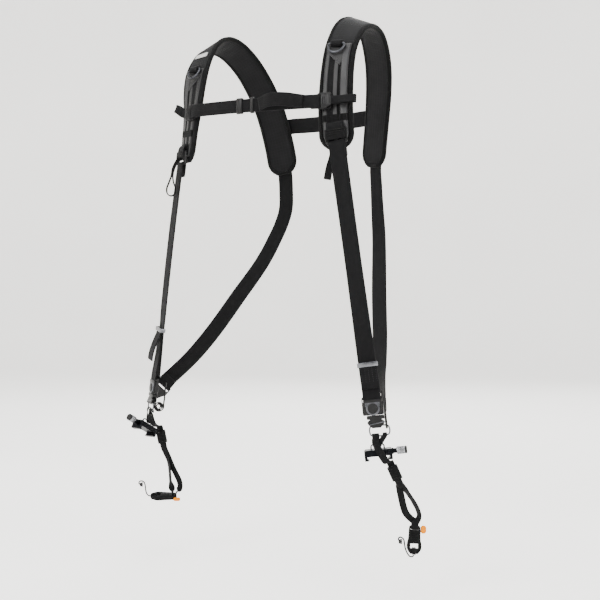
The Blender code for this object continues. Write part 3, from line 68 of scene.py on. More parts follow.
def makeCamera():
    lens = bpy.data.cameras.new("photo_camera")
    lens.lens = photo["lens"]
    lens.sensor_width = photo["sensor"]
    lens.shift_x = photo["shift"]
    eye = bpy.data.objects.new("photo_camera", lens)
    eye.location = photo["eye"]
    eye.rotation_euler = (math.radians(90), 0, math.radians(photo["turn"]))
    bpy.context.scene.collection.objects.link(eye)
    bpy.context.scene.camera = eye


makeCamera()

# Sizes that all the webbing shares, in metres
cloth = {
    "gap": 0.0003,
    "layerGap": 0.0004,
    "webW": 0.025,
    "webT": 0.0016,
    "sternumW": 0.02,
    "loopW": 0.012,
    "tailW": 0.011,
    "tetherW": 0.01,
    "tetherT": 0.0014,
    "step": 0.0022,
}
sides = {"left_": 1, "right_": -1}


def placeOf(origin, u, v):
    # a place with x along u, y along v and z out of the face
    u = Vector(u)
    v = Vector(v).normalized()
    u = (u - v * u.dot(v)).normalized()
    n = u.cross(v)
    turned = Matrix((u, v, n)).transposed().to_4x4()
    return Matrix.Translation(Vector(origin)) @ turned


def facing(origin, turn, up=(0, 0, 1)):
    # a place whose face looks towards the given turn, 0 being straight ahead of the wearer
    a = math.radians(turn)
    return placeOf(origin, (math.cos(a), math.sin(a), 0), up)


def at(place, x=0.0, y=0.0, z=0.0):
    return place @ Vector((x, y, z))


def axis(place, k):
    return place.to_3x3().col[k].normalized()


def shifted(place, x=0.0, y=0.0, z=0.0):
    return place @ Matrix.Translation((x, y, z))


def rowsOn(place, path, across=None):
    # rows over a path of (y, z), with the place's own direction across
    across = axis(place, 0) if across is None else across
    return [(at(place, 0, y, z), across) for y, z in path]


def distancesAlong(points):
    far = [0.0]
    for a, b in zip(points, points[1:]):
        far.append(far[-1] + (b - a).length)
    return far


def catmullValue(p, q, r, s, t):
    # a share t of the way from q to r, on the smooth curve through all four
    bend = 2 * p - 5 * q + 4 * r - s
    twist = 3 * q - p - 3 * r + s
    return 0.5 * (2 * q + (r - p) * t + bend * t * t + twist * t**3)


def catmull(rows, steps):
    # a smooth curve through rows of numbers, with the same steps between each two
    rows = [tuple(float(v) for v in row) for row in rows]
    ends = [rows[0]] + rows + [rows[-1]]
    made = []
    for k in range(1, len(ends) - 2):
        a, b, c, d = ends[k - 1], ends[k], ends[k + 1], ends[k + 2]
        for i in range(steps):
            t = i / steps
            made.append(tuple(catmullValue(p, q, r, s, t) for p, q, r, s in zip(a, b, c, d)))
    made.append(rows[-1])
    return made


def smoothRows(rows, steps):
    # the same smooth curve through (point, across) rows
    fine = catmull([(*p, *a) for p, a in rows], steps)
    return [(Vector(r[:3]), Vector(r[3:]).normalized()) for r in fine]


def wrap(halfY, halfZ, offset, steps=3):
    # a path over the +y side of a bar, from its +z face to its -z face, as (y, z)
    made = []
    for k in range(steps + 1):
        a = math.radians(90 * k / steps)
        made.append((halfY + offset * math.sin(a), halfZ + offset * math.cos(a)))
    for k in range(steps + 1):
        a = math.radians(90 * k / steps)
        made.append((halfY + offset * math.cos(a), -halfZ - offset * math.sin(a)))
    return made


def halfTurn(radius, steps=4):
    # half a circle over the +y side, from +z to -z, as (y, z)
    angles = [math.pi * k / steps for k in range(steps + 1)]
    return [(radius * math.sin(a), radius * math.cos(a)) for a in angles]


def rounded(halfW, low, high, corner, steps=2):
    # a rounded rectangle from its lower left corner round to its upper left, as (x, y)
    made = []
    bottom = low + corner
    top = high - corner
    corners = ((-1, bottom, 180), (1, bottom, 270), (1, top, 0), (-1, top, 90))
    for sign, y, start in corners:
        for k in range(steps + 1):
            a = math.radians(start + 90 * k / steps)
            made.append((sign * (halfW - corner) + corner * math.cos(a), y + corner * math.sin(a)))
    return made


def dPoints(width, height, steps=8):
    # a D with its bar on top, its middle at the origin, and its bow below
    made = [(share * width, 0.0) for share in (-0.5, -1 / 6, 1 / 6, 0.5)]
    for k in range(1, steps):
        a = math.pi * k / steps
        x = math.cos(a) * width / 2
        made.append((x * (1.0 + 0.06 * math.sin(a)), -(math.sin(a) ** 0.75) * height))
    return made


def refine(rows, step, closed=False):
    # finer rows on a smooth line through the given ones; a short bend keeps its own size
    points = [Vector(p) for p, across in rows]
    turns = [Vector(across).normalized() for p, across in rows]
    count = len(points)
    last = count if closed else count - 1
    lengths = [max((points[(k + 1) % count] - points[k]).length, 1e-6) for k in range(last)]

    def tangent(k):
        if not closed and k == 0:
            return (points[1] - points[0]).normalized()
        if not closed and k == count - 1:
            return (points[-1] - points[-2]).normalized()
        before = points[k] - points[k - 1]
        after = points[(k + 1) % count] - points[k]
        before = before.normalized() / max(before.length, 1e-5)
        after = after.normalized() / max(after.length, 1e-5)
        return (before + after).normalized()

    made = []
    for k in range(last):
        j = (k + 1) % count
        length = lengths[k]
        before = lengths[k - 1] if (closed or k) else length
        after = lengths[(k + 1) % last] if (closed or k < last - 1) else length
        fromTangent = tangent(k)
        toTangent = tangent(j)
        a = fromTangent * min(length, 3 * before)
        b = toTangent * min(length, 3 * after)
        bend = fromTangent.angle(toTangent, 0.0)
        parts = max(1, round(length / step), math.ceil(bend / 0.25))
        for i in range(parts):
            t = i / parts
            spot = points[k] * (2 * t**3 - 3 * t * t + 1) + a * (t**3 - 2 * t * t + t)
            spot += points[j] * (3 * t * t - 2 * t**3) + b * (t**3 - t * t)
            made.append((spot, turns[k].lerp(turns[j], t).normalized()))
    if not closed:
        made.append((points[-1], turns[-1]))
    return made


def frames(rows, closed=False):
    # a place on each row: x across the band, y along it, z out of its face
    count = len(rows)
    made = []
    for k, (spot, across) in enumerate(rows):
        before = rows[k - 1][0] if (k or closed) else spot
        after = rows[(k + 1) % count][0] if (k < count - 1 or closed) else spot
        made.append(placeOf(spot, across, after - before))
    return made


# Materials


def linear(code):
    made = []
    for k in (1, 3, 5):
        v = int(code[k : k + 2], 16) / 255
        made.append(v / 12.92 if v <= 0.04045 else ((v + 0.055) / 1.055) ** 2.4)
    return (*made, 1.0)


def addNode(tree, kind, feeds=None, **settings):
    # adds a node, sets its properties, and fills its inputs with values or with other sockets
    made = tree.nodes.new(kind)
    for key, value in settings.items():
        setattr(made, key, value)
    for key, value in (feeds or {}).items():
        if isinstance(value, bpy.types.NodeSocket):
            tree.links.new(value, made.inputs[key])
        else:
            made.inputs[key].default_value = value
    return made


def newMaterial(name, roughness, metallic=0.0, **sockets):
    made = bpy.data.materials.new(name)
    made.use_nodes = True
    shader = made.node_tree.nodes["Principled BSDF"]
    shader.inputs["Roughness"].default_value = roughness
    shader.inputs["Metallic"].default_value = metallic
    for key, value in sockets.items():
        shader.inputs[key.replace("_", " ")].default_value = value
    return made, made.node_tree, shader


def ramp(tree, fac, stops):
    made = addNode(tree, "ShaderNodeValToRGB", {"Fac": fac})
    edge = made.color_ramp.elements
    while len(edge) < len(stops):
        edge.new(0.5)
    for k, (place, code) in enumerate(stops):
        edge[k].position = place
        edge[k].color = linear(code)
    return made.outputs["Color"]


def bump(tree, shader, height, distance, strength=1.0):
    made = addNode(tree, "ShaderNodeBump", {"Height": height, "Distance": distance, "Strength": strength})
    tree.links.new(made.outputs["Normal"], shader.inputs["Normal"])


def maths(tree, operation, a, b=0.0, c=0.0):
    return addNode(tree, "ShaderNodeMath", {0: a, 1: b, 2: c}, operation=operation).outputs[0]


def wave(tree, value, pitch, phase=0.0):
    # a sine of the given pitch in metres, from 0 to 1
    turned = maths(tree, "MULTIPLY_ADD", value, 2 * math.pi / pitch, phase)
    return maths(tree, "MULTIPLY_ADD", maths(tree, "SINE", turned), 0.5, 0.5)


def noise(tree, coordinates, scale, detail=2.0):
    feeds = {"Vector": coordinates, "Scale": scale, "Detail": detail}
    return addNode(tree, "ShaderNodeTexNoise", feeds).outputs["Fac"]


def objectSpace(tree):
    return addNode(tree, "ShaderNodeTexCoord").outputs["Object"]


def paint(tree, shader, tone, low, high, codes):
    # the base colour runs between two codes
    tree.links.new(ramp(tree, tone, ((low, codes[0]), (high, codes[1]))), shader.inputs["Base Color"])


def clothAxes(tree):
    # metres across and along the cloth, from its own map
    coords = addNode(tree, "ShaderNodeUVMap", uv_map="cloth").outputs["UV"]
    split = addNode(tree, "ShaderNodeSeparateXYZ", {"Vector": coords})
    return coords, split.outputs["X"], split.outputs["Y"]


def webbingMaterial(name, codes, alongPitch, acrossPitch, depth, roughness):
    # nylon webbing: a plain weave in raised rows, with the slight chalkiness of worn thread
    made, tree, shader = newMaterial(name, roughness, Sheen_Weight=0.02, Specular_IOR_Level=0.08)
    coords, across, along = clothAxes(tree)
    warp = wave(tree, across, acrossPitch)
    row = maths(tree, "ROUND", maths(tree, "DIVIDE", across, acrossPitch))
    weft = wave(tree, along, alongPitch, maths(tree, "MULTIPLY", row, math.pi))
    height = maths(tree, "MULTIPLY", maths(tree, "POWER", warp, 0.6), weft)
    worn = noise(tree, coords, 160.0, 4.0)
    tone = maths(tree, "ADD", maths(tree, "MULTIPLY", height, 0.65), maths(tree, "MULTIPLY", worn, 0.45))
    paint(tree, shader, tone, 0.15, 0.85, codes)
    bump(tree, shader, height, depth)
    return made


def ripstopMaterial():
    # ripstop nylon: a 0.5 mm weave with a thicker thread every 5 mm both ways
    made, tree, shader = newMaterial("ripstop_nylon", 0.66, Sheen_Weight=0.02, Specular_IOR_Level=0.1)
    coords, across, along = clothAxes(tree)
    fine = maths(tree, "MULTIPLY", wave(tree, across, 0.0005), wave(tree, along, 0.0005))
    lines = maths(tree, "MAXIMUM", wave(tree, across, 0.005), wave(tree, along, 0.005))
    thread = maths(tree, "POWER", lines, 40.0)
    height = maths(tree, "MAXIMUM", maths(tree, "MULTIPLY", fine, 0.45), thread)
    worn = noise(tree, coords, 45.0, 5.0)
    tone = maths(tree, "ADD", maths(tree, "MULTIPLY", height, 0.45), maths(tree, "MULTIPLY", worn, 0.6))
    paint(tree, shader, tone, 0.2, 0.9, ("#060607", "#131315"))
    bump(tree, shader, height, 0.00012)
    return made


def leatherMaterial(name, codes, roughness):
    # coated leather: pebbles of about 0.9 mm with finer creases, rubbed smoother on its high spots
    made, tree, shader = newMaterial(name, roughness, Specular_IOR_Level=0.32)
    coords = objectSpace(tree)
    feeds = {"Vector": coords, "Scale": 1100.0, "Randomness": 1.0}
    cells = addNode(tree, "ShaderNodeTexVoronoi", feeds, feature="DISTANCE_TO_EDGE").outputs["Distance"]
    pebble = maths(tree, "MINIMUM", maths(tree, "MULTIPLY", cells, 3.0), 1.0)
    soft = noise(tree, coords, 60.0, 4.0)
    mottle = maths(tree, "MULTIPLY_ADD", soft, 0.35, 0.15)
    tone = maths(tree, "ADD", maths(tree, "MULTIPLY", pebble, 0.35), mottle)
    paint(tree, shader, tone, 0.25, 0.85, codes)
    gloss = maths(tree, "MULTIPLY_ADD", soft, -0.25, roughness + 0.14)
    tree.links.new(gloss, shader.inputs["Roughness"])
    bump(tree, shader, pebble, 0.0001)
    return made


def plasticMaterial(name, codes, roughness, grain, gloss=0.22):
    # moulded acetal: a fine spark texture, a little greyer where it is handled
    made, tree, shader = newMaterial(name, roughness, Specular_IOR_Level=gloss)
    coords = objectSpace(tree)
    speck = noise(tree, coords, 2600.0, 2.0)
    worn = noise(tree, coords, 90.0, 4.0)
    paint(tree, shader, worn, 0.3, 0.75, codes)
    tree.links.new(maths(tree, "MULTIPLY_ADD", worn, 0.2, roughness - 0.1), shader.inputs["Roughness"])
    bump(tree, shader, speck, grain)
    return made


def metalMaterial(name, codes, roughness, grain):
    # plated or plain metal: faint brushing at 0.3 mm and soft wear
    made, tree, shader = newMaterial(name, roughness, metallic=1.0)
    coords = objectSpace(tree)
    stretched = addNode(tree, "ShaderNodeMapping", {"Vector": coords, "Scale": (1.0, 1.0, 0.12)}).outputs[0]
    brushed = noise(tree, stretched, 3200.0, 2.0)
    worn = noise(tree, coords, 120.0, 4.0)
    paint(tree, shader, worn, 0.3, 0.7, codes)
    tree.links.new(maths(tree, "MULTIPLY_ADD", worn, 0.25, roughness - 0.12), shader.inputs["Roughness"])
    bump(tree, shader, brushed, grain)
    return made


def threadMaterial(name, codes):
    # bonded thread, twisted every 0.6 mm
    made, tree, shader = newMaterial(name, 0.6, Sheen_Weight=0.03, Specular_IOR_Level=0.12)
    coords = objectSpace(tree)
    twist = noise(tree, coords, 1800.0, 1.0)
    paint(tree, shader, twist, 0.3, 0.7, codes)
    bump(tree, shader, twist, 0.0001)
    return made


def floorMaterial():
    # a plain pale studio sweep with a barely seen mottle
    made, tree, shader = newMaterial("studio_floor", 0.9)
    coords = objectSpace(tree)
    paint(tree, shader, noise(tree, coords, 2.0), 0.3, 0.7, ("#efeeec", "#f3f2f0"))
    shader.inputs["Emission Color"].default_value = linear("#fbfaf8")
    shader.inputs["Emission Strength"].default_value = 0.55
    return made


looks = {
    "webbing": webbingMaterial("nylon_webbing", ("#020203", "#111112"), 0.0016, 0.0011, 0.00022, 0.72),
    "tape": webbingMaterial("grosgrain_binding", ("#020202", "#0d0d0e"), 0.0008, 0.006, 0.00014, 0.8),
    "label": webbingMaterial("bare_woven_label", ("#8f8f8d", "#c9c9c7"), 0.0006, 0.0006, 0.00006, 0.7),
    "ripstop": ripstopMaterial(),
    "leather": leatherMaterial("coated_leather", ("#040405", "#0c0c0d"), 0.42),
    "panelLeather": leatherMaterial("panel_leather", ("#070708", "#161617"), 0.36),
    # a lighter, glossier copy of the leather: its lighter colour is painted highlight, on the panel's outer
    # strip and the seam band
    "paintedHighlightLeather": leatherMaterial("leather_painted_highlight", ("#0b0b0c", "#202023"), 0.3),
    "plastic": plasticMaterial("black_acetal", ("#030303", "#0a0a0b"), 0.36, 0.00003),
    "clipPlastic": plasticMaterial("handled_black_acetal", ("#070708", "#131314"), 0.4, 0.00003, gloss=0.18),
    "mattePlastic": plasticMaterial("matte_black_nylon", ("#020202", "#080809"), 0.62, 0.00004, gloss=0.09),
    "softPlastic": plasticMaterial("black_rubbery_plastic", ("#040404", "#0c0c0d"), 0.5, 0.00004),
    "tab": plasticMaterial("orange_yellow_tab", ("#c06c00", "#d67c00"), 0.7, 0.00003, gloss=0.0),
    "gunmetal": metalMaterial("gunmetal_plate", ("#2b2c2f", "#4a4b4f"), 0.3, 0.00002),
    "steel": metalMaterial("bright_steel", ("#77787b", "#a4a5a8"), 0.24, 0.00002),
    "ringMetal": metalMaterial("satin_grey_plate", ("#3c3d40", "#66676b"), 0.34, 0.00002),
    "sliderMetal": metalMaterial("satin_steel", ("#4a4b4e", "#7b7c80"), 0.26, 0.00002),
    "anodised": metalMaterial("black_anodised_alloy", ("#0b0c0e", "#16171a"), 0.45, 0.00003),
    "thread": threadMaterial("black_thread", ("#080809", "#18181a")),
    "greyThread": threadMaterial("grey_thread", ("#121213", "#222224")),
    "cord": threadMaterial("braided_cord", ("#010101", "#070708")),
    "floor": floorMaterial(),
}
print("stage: materials")

# Making pieces


def newObject(name, bm, look):
    mesh = bpy.data.meshes.new(name)
    bm.to_mesh(mesh)
    bm.free()
    made = bpy.data.objects.new(name, mesh)
    bpy.context.scene.collection.objects.link(made)
    mesh.materials.append(looks[look])
    mesh.shade_smooth()
    return made


def finishPiece(name, bm, look, replaced=(), sharp=None, body="harness", more=()):
    # more looks take the next material slots; sharp is the angle from which an edge stays crisp
    bmesh.ops.recalc_face_normals(bm, faces=bm.faces)
    made = newObject(name, bm, look)
    for other in more:
        made.data.materials.append(looks[other])
    if sharp:
        made.data.set_sharp_from_angle(angle=math.radians(sharp))
    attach(made, body)
    if replaced:
        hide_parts(*replaced)
    return made


def skinPiece(name, rings, look, replaced=(), maps=None, closed=False, sharp=None):
    bm = bmesh.new()
    skin(bm, rings, maps, closed)
    return finishPiece(name, bm, look, replaced, sharp)


def skin(bm, rings, maps=None, closed=False, material=0):
    # joins rings of points into a skin; maps give each point its place on the cloth
    layer = bm.loops.layers.uv.get("cloth") or bm.loops.layers.uv.new("cloth")
    made = [[bm.verts.new(p) for p in ring] for ring in rings]
    count = len(made[0])
    total = len(made)

    def addFace(corners, spots):
        face = bm.faces.new(corners)
        face.material_index = material
        for loop, spot in zip(face.loops, spots):
            loop[layer].uv = spot

    for k in range(total if closed else total - 1):
        here, there = made[k], made[(k + 1) % total]
        for i in range(count):
            n = (i + 1) % count
            spots = (maps[k][i], maps[k][n], maps[k + 1][n], maps[k + 1][i]) if maps else ()
            addFace((here[i], here[n], there[n], there[i]), spots)
    if not closed:
        addFace(made[0], maps[0] if maps else ())
        addFace(made[-1][::-1], maps[-1][::-1] if maps else ())


def bandSection(width, thick):
    # a woven band's section: flat faces with a soft selvedge at each edge, as (across, out)
    w = width / 2
    t = thick / 2
    half = [(-w, 0.0), (-w + 0.35 * t, 0.72 * t), (-w + 1.1 * t, t), (-w * 0.5, t), (w * 0.5, t)]
    half += [(w - 1.1 * t, t), (w - 0.35 * t, 0.72 * t)]
    return half + [(-x, -z) for x, z in half]


straps = {}


def strap(name, rows, width=cloth["webW"], thick=cloth["webT"], closed=False):
    # one length of webbing along its rows, each a point with the direction across
    fine = refine(rows, cloth["step"], closed)
    places = frames(fine, closed)
    section = bandSection(width, thick)
    along = 0.0
    rings = []
    maps = []
    for k, place in enumerate(places):
        if k:
            along += (fine[k][0] - fine[k - 1][0]).length
        rings.append([at(place, x, 0, z) for x, z in section])
        maps.append([(x, along) for x, z in section])
    if closed:
        along += (fine[0][0] - fine[-1][0]).length
        maps.append([(x, along) for x, z in section])
    straps[name] = (places, width, thick)
    skinPiece(name + "_cloth", rings, "webbing", [name], maps, closed)


def tube(bm, points, radius, count, closed=True, upward=None):
    # a round wire along points
    points = [Vector(p) for p in points]
    total = len(points)
    middle = sum(points, Vector()) / total
    plane = Vector()
    for a, b in zip(points, points[1:] + points[:1]):
        plane += (a - middle).cross(b - middle)
    plane = Vector(upward) if upward else plane.normalized()
    rings = []
    for k, p in enumerate(points):
        before = points[k - 1] if (k or closed) else p
        after = points[(k + 1) % total] if (k < total - 1 or closed) else p
        run = (after - before).normalized()
        side = run.cross(plane).normalized()
        lift = side.cross(run)
        angles = [2 * math.pi * i / count for i in range(count)]
        rings.append([p + (side * math.cos(a) + lift * math.sin(a)) * radius for a in angles])
    skin(bm, rings, closed=closed)


def lathe(bm, profile, count, place, material=0):
    # a profile of (radius, along) turned round the place's x axis
    angles = [2 * math.pi * k / count for k in range(count)]
    rings = []
    for radius, along in profile:
        rings.append([at(place, along, radius * math.cos(a), radius * math.sin(a)) for a in angles])
    skin(bm, rings, material=material)


def wireCurve(points, step):
    # a finer smooth closed line through points
    rows = [(p, (0, 0, 1)) for p in points]
    return [p for p, across in refine(rows, step, closed=True)]


# Repeated stitches and ridges, set out by one node tree


def repeatTree():
    tree = bpy.data.node_groups.new("repeat_on_points", "GeometryNodeTree")
    sockets = {}
    wanted = (
        ("Points", "INPUT", "NodeSocketGeometry"),
        ("Shape", "INPUT", "NodeSocketObject"),
        ("Finish", "INPUT", "NodeSocketMaterial"),
        ("Least Size", "INPUT", "NodeSocketFloat"),
        ("Seed", "INPUT", "NodeSocketInt"),
        ("Made", "OUTPUT", "NodeSocketGeometry"),
    )
    for name, way, kind in wanted:
        sockets[name] = tree.interface.new_socket(name=name, in_out=way, socket_type=kind).identifier
    given = addNode(tree, "NodeGroupInput").outputs
    shape = addNode(tree, "GeometryNodeObjectInfo", {"Object": given["Shape"]})
    turn = addNode(tree, "GeometryNodeInputNamedAttribute", {"Name": "turn"}, data_type="FLOAT_VECTOR")
    rotation = addNode(tree, "FunctionNodeEulerToRotation", {0: turn.outputs["Attribute"]})
    size = addNode(tree, "FunctionNodeRandomValue", data_type="FLOAT")
    floats = [socket for socket in size.inputs if socket.type == "VALUE"]
    tree.links.new(given["Least Size"], floats[0])
    floats[1].default_value = 1.0
    tree.links.new(given["Seed"], size.inputs["Seed"])
    grown = [socket for socket in size.outputs if socket.type == "VALUE"][0]
    feeds = {
        "Points": given["Points"],
        "Instance": shape.outputs["Geometry"],
        "Rotation": rotation.outputs[0],
        "Scale": grown,
    }
    placed = addNode(tree, "GeometryNodeInstanceOnPoints", feeds)
    real = addNode(tree, "GeometryNodeRealizeInstances", {"Geometry": placed.outputs["Instances"]})
    feeds = {"Geometry": real.outputs["Geometry"], "Material": given["Finish"]}
    painted = addNode(tree, "GeometryNodeSetMaterial", feeds)
    end = addNode(tree, "NodeGroupOutput")
    tree.links.new(painted.outputs["Geometry"], end.inputs["Made"])
    return tree, sockets


repeater, repeaterSockets = repeatTree()


def repeat(name, spots, shapeMaker, look, body="harness", least=1.0, seed=4):
    # spots are places; the shape is set on each, x along, y across and z out
    bm = bmesh.new()
    shapeMaker(bm)
    shapeMesh = bpy.data.meshes.new(name + "_shape")
    bm.to_mesh(shapeMesh)
    bm.free()
    shapeMesh.shade_smooth()
    shape = bpy.data.objects.new(name + "_shape", shapeMesh)
    mesh = bpy.data.meshes.new(name + "_spots")
    mesh.from_pydata([spot.to_translation() for spot in spots], [], [])
    turn = mesh.attributes.new("turn", "FLOAT_VECTOR", "POINT")
    for k, spot in enumerate(spots):
        turn.data[k].vector = tuple(spot.to_euler())
    holder = bpy.data.objects.new(name + "_spots", mesh)
    scene = bpy.context.scene.collection.objects
    scene.link(shape)
    scene.link(holder)
    step = holder.modifiers.new("repeat", "NODES")
    step.node_group = repeater
    step[repeaterSockets["Shape"]] = shape
    step[repeaterSockets["Finish"]] = looks[look]
    step[repeaterSockets["Least Size"]] = least
    step[repeaterSockets["Seed"]] = seed
    bpy.context.view_layer.update()
    seen = holder.evaluated_get(bpy.context.evaluated_depsgraph_get())
    final = bpy.data.meshes.new_from_object(seen)
    final.name = name
    holder.modifiers.remove(step)
    bpy.data.objects.remove(holder, do_unlink=True)
    bpy.data.objects.remove(shape, do_unlink=True)
    made = bpy.data.objects.new(name, final)
    scene.link(made)
    if not final.materials:
        final.materials.append(looks[look])
    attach(made, body)


def ovalRing(x, wide, high, count, up=0.0):
    angles = [2 * math.pi * k / count for k in range(count)]
    return [Vector((x, wide * math.cos(a), up + high * math.sin(a))) for a in angles]


def ridgeShape(half, tip, least, wide, high, count):
    # makes a rounded ridge along x that narrows at both tips
    def shape(bm):
        sections = ((-half, least), (tip - half, 1.0), (half - tip, 1.0), (half, least))
        skin(bm, [ovalRing(x, wide * size, high * size, count) for x, size in sections])

    return shape


stitch = {
    "half": 0.00115,
    "radius": 0.00026,
    "up": 0.00012,
    "dip": 0.0003,
    "inset": 0.0022,
    "pitch": 0.0031,
}


def stitchShape(bm):
    # one stitch, 2.3 mm of thread that dips at both ends
    rings = []
    for share in (-1.0, -0.8, -0.3, 0.3, 0.8, 1.0):
        radius = stitch["radius"] * math.sqrt(max(1.0 - share * share * 0.92, 0.08))
        up = stitch["up"] - stitch["dip"] * share * share
        rings.append(ovalRing(share * stitch["half"], radius, radius, 6, up))
    skin(bm, rings)


stitches = []
greyStitches = []


def stitchLine(points, outs, pitch=stitch["pitch"], into=stitches):
    # stitches at an even pitch along points that lie on a surface, each with the way out of it
    due = pitch / 2
    for k in range(len(points) - 1):
        a, b = points[k], points[k + 1]
        length = (b - a).length
        while due <= length:
            t = due / length
            out = outs[k].lerp(outs[k + 1], t).normalized()
            run = (b - a).normalized()
            side = out.cross(run).normalized()
            turned = Matrix((run, side, run.cross(side))).transposed().to_4x4()
            into.append(Matrix.Translation(a.lerp(b, t)) @ turned)
            due += pitch
        due -= length


def stitchStrap(name, start, end, face=1, lines=(-1, 1), into=stitches):
    # stitch lines on a strap between two shares of its rows, on its outer or its inner face
    places, width, thick = straps[name]
    chosen = places[round(start * (len(places) - 1)) : round(end * (len(places) - 1)) + 1]
    outs = [axis(place, 2) * face for place in chosen]
    for side in lines:
        x = side * (width / 2 - stitch["inset"])
        stitchLine([at(place, x, 0, face * thick / 2) for place in chosen], outs, into=into)


# Shoulder pads: named sizes, then the line of each pad as it lies on the body

padFit = {
    "halfSpan": 0.133,
    "width": 0.051,
    "thick": 0.009,
    "end": 0.024,
    "crestZ": 0.012,
    "chestDepth": 0.072,
    "frontDrop": 0.197,
    "backDepth": 0.118,
    "backDrop": 0.202,
    "step": 0.017,
    "border": 0.007,
    "panelT": 0.0012,
    "panelLow": 0.009,
    "panelOverRing": 0.0045,
    "front": (
        (1.04, 0.99, 1.0, 20, 30, 0), (1.03, 0.97, 0.873, 19, 29, 0),
        (1.01, 0.944, 0.72, 17, 26, 0), (1.0, 0.9, 0.568, 13, 19, 2),
        (1.0, 0.85, 0.416, 8, 11, 4), (1.0, 0.75, 0.274, 5, 6, 8), (1.0, 0.57, 0.152, 4, 5, 13),
        (1.0, 0.29, 0.046, 3, 4, 19), (1.0, -0.07, 0.0, 2, 2, 22),
    ),
    "back": (
        (0.98, 0.28, 0.02, -2, -2, 20), (0.93, 0.525, 0.119, -6, -6, 15),
        (0.87, 0.72, 0.267, -10, -10, 9), (0.8, 0.856, 0.445, -12, -12, 5),
        (0.74, 0.93, 0.629, -14, -14, 2), (0.69, 0.975, 0.812, -15, -15, 0),
        (0.65, 1.0, 1.0, -15, -15, 0),
    ),
}


def padPlaces(side):
    # places along a pad from the lower tip to the back end, with the distance of each
    rows = []
    front = (padFit["front"], -padFit["chestDepth"], padFit["frontDrop"])
    back = (padFit["back"], padFit["backDepth"], padFit["backDrop"])
    for stations, deep, fall in (front, back):
        for out, fore, drop, leftTurn, rightTurn, roll in stations:
            turn = leftTurn if side > 0 else rightTurn
            rows.append((out * padFit["halfSpan"], fore * deep, padFit["crestZ"] - drop * fall, turn, roll))
    fine = catmull(rows, 12)
    far = distancesAlong([Vector(row[:3]) for row in fine])
    length = far[-1]
    straight = length - 2 * padFit["end"]
    middle = max(3, round(straight / padFit["step"]))
    ends = [padFit["end"] * share for share in (0.0, 0.12, 0.3, 0.55)]
    wanted = ends + [padFit["end"] + straight * k / middle for k in range(middle + 1)]
    wanted += [length - d for d in reversed(ends)]
    picked = []
    k = 0
    for d in wanted:
        while k < len(far) - 2 and far[k + 1] < d:
            k += 1
        t = (d - far[k]) / (far[k + 1] - far[k])
        picked.append((d, [p + (q - p) * t for p, q in zip(fine[k], fine[k + 1])]))
    made = []
    for i, (d, row) in enumerate(picked):
        before = picked[max(i - 1, 0)][1]
        after = picked[min(i + 1, len(picked) - 1)][1]
        run = Vector(after[:3]) - Vector(before[:3])
        turn = math.radians(row[3])
        roll = math.radians(row[4])
        across = Vector((math.cos(turn) * math.cos(roll), math.sin(turn) * math.cos(roll), -math.sin(roll)))
        if side < 0:
            across = Vector((across.x, -across.y, -across.z))
            run.x = -run.x
        made.append((d, placeOf((side * row[0], row[1], row[2]), across, run)))
    return made


pads = {side: padPlaces(side) for side in sides.values()}
padLength = pads[1][-1][0]


def padAt(side, distance):
    # the place on a pad's facets at a distance from its lower tip
    places = pads[side]
    distance = min(max(distance, 0.0), padLength)
    for (d0, a), (d1, b) in zip(places, places[1:]):
        if distance <= d1:
            t = (distance - d0) / (d1 - d0)
            origin = a.to_translation().lerp(b.to_translation(), t)
            run = b.to_translation() - a.to_translation()
            return placeOf(origin, axis(a, 0).lerp(axis(b, 0), t), run)
    return places[-1][1]


def endShare(distance):
    # how much of its full width a pad has near its rounded ends
    near = min(distance, padLength - distance)
    short = max(0.0, 1.0 - near / padFit["end"])
    return math.sqrt(1.0 - 0.87 * short * short)


panelLift = padFit["thick"] / 2 + cloth["gap"]
panelTop = panelLift + padFit["panelT"]
webStand = cloth["gap"] + cloth["webT"] / 2


def overPanel(barHalf):
    # height of a bar's middle over the pad's centre, with one webbing layer between bar and panel
    return panelTop + cloth["gap"] + cloth["webT"] + cloth["gap"] + barHalf


# Metal rings near the pads' tops

dRing = {
    "wireR": 0.0016,
    "width": 0.024,
    "height": 0.014,
    "up": {1: 0.152, -1: 0.143},
    "in": 0.0035,
    "tabW": 0.018,
    "tabL": 0.007,
}


# Plastic adjusters at the pads' lower ends

lockFit = {
    "width": 0.031,
    "height": 0.022,
    "thick": 0.003,
    "bar": 0.003,
    "up": {1: 0.017, -1: 0.006},
    "out": {1: 0.0015, -1: 0.0},
    "swing": {1: 7.0, -1: 0.0},
    "tabL": 0.013,
    "tailL": 0.02,
}


lockHalf = lockFit["thick"] / 2
lockStand = lockHalf + webStand
lockWrap = wrap(lockFit["bar"] / 2, lockHalf, webStand)


def lockPlace(side):
    middle = Matrix.Translation((side * lockFit["out"][side], 0, overPanel(lockHalf)))
    swing = Matrix.Rotation(math.radians(lockFit["swing"][side]), 4, "Z")
    return padAt(side, lockFit["up"][side]) @ middle @ swing


# Hip connectors

hips = {
    "hip": {1: (0.2125, -0.096, -0.549), -1: (-0.203, -0.077, -0.54)},
    "turn": 32.0,
    "lean": 7.5,
    "bodyW": 0.029,
    "bodyT": 0.004,
    "bodyTop": 0.0163,
    "bodyBar": 0.0035,
    "bodySlot": 0.004,
    "shellT": 0.008,
    "plateT": 0.0016,
    "plateR": 0.0095,
    "plateEar": 0.0104,
    "buttonR": 0.0068,
    "buttonH": 0.003,
    "yokeT": 0.0085,
    "wireR": 0.0011,
    "ringDrop": 0.024,
    "ringW": 0.027,
    "ringH": 0.013,
    "ringCorner": 0.0036,
    "ringShift": 0.0065,
    "hangerAt": 0.0066,
    "tetherAt": -0.0062,
    "tetherEndL": 0.003,
}


def hip(side):
    lean = math.radians(hips["lean"])
    up = Vector((-side * math.sin(lean), 0.03, math.cos(lean)))
    return facing(hips["hip"][side], side * hips["turn"], up)


ringLow = -hips["ringDrop"] - hips["ringH"]
barY = hips["bodyTop"] - hips["bodyBar"] / 2


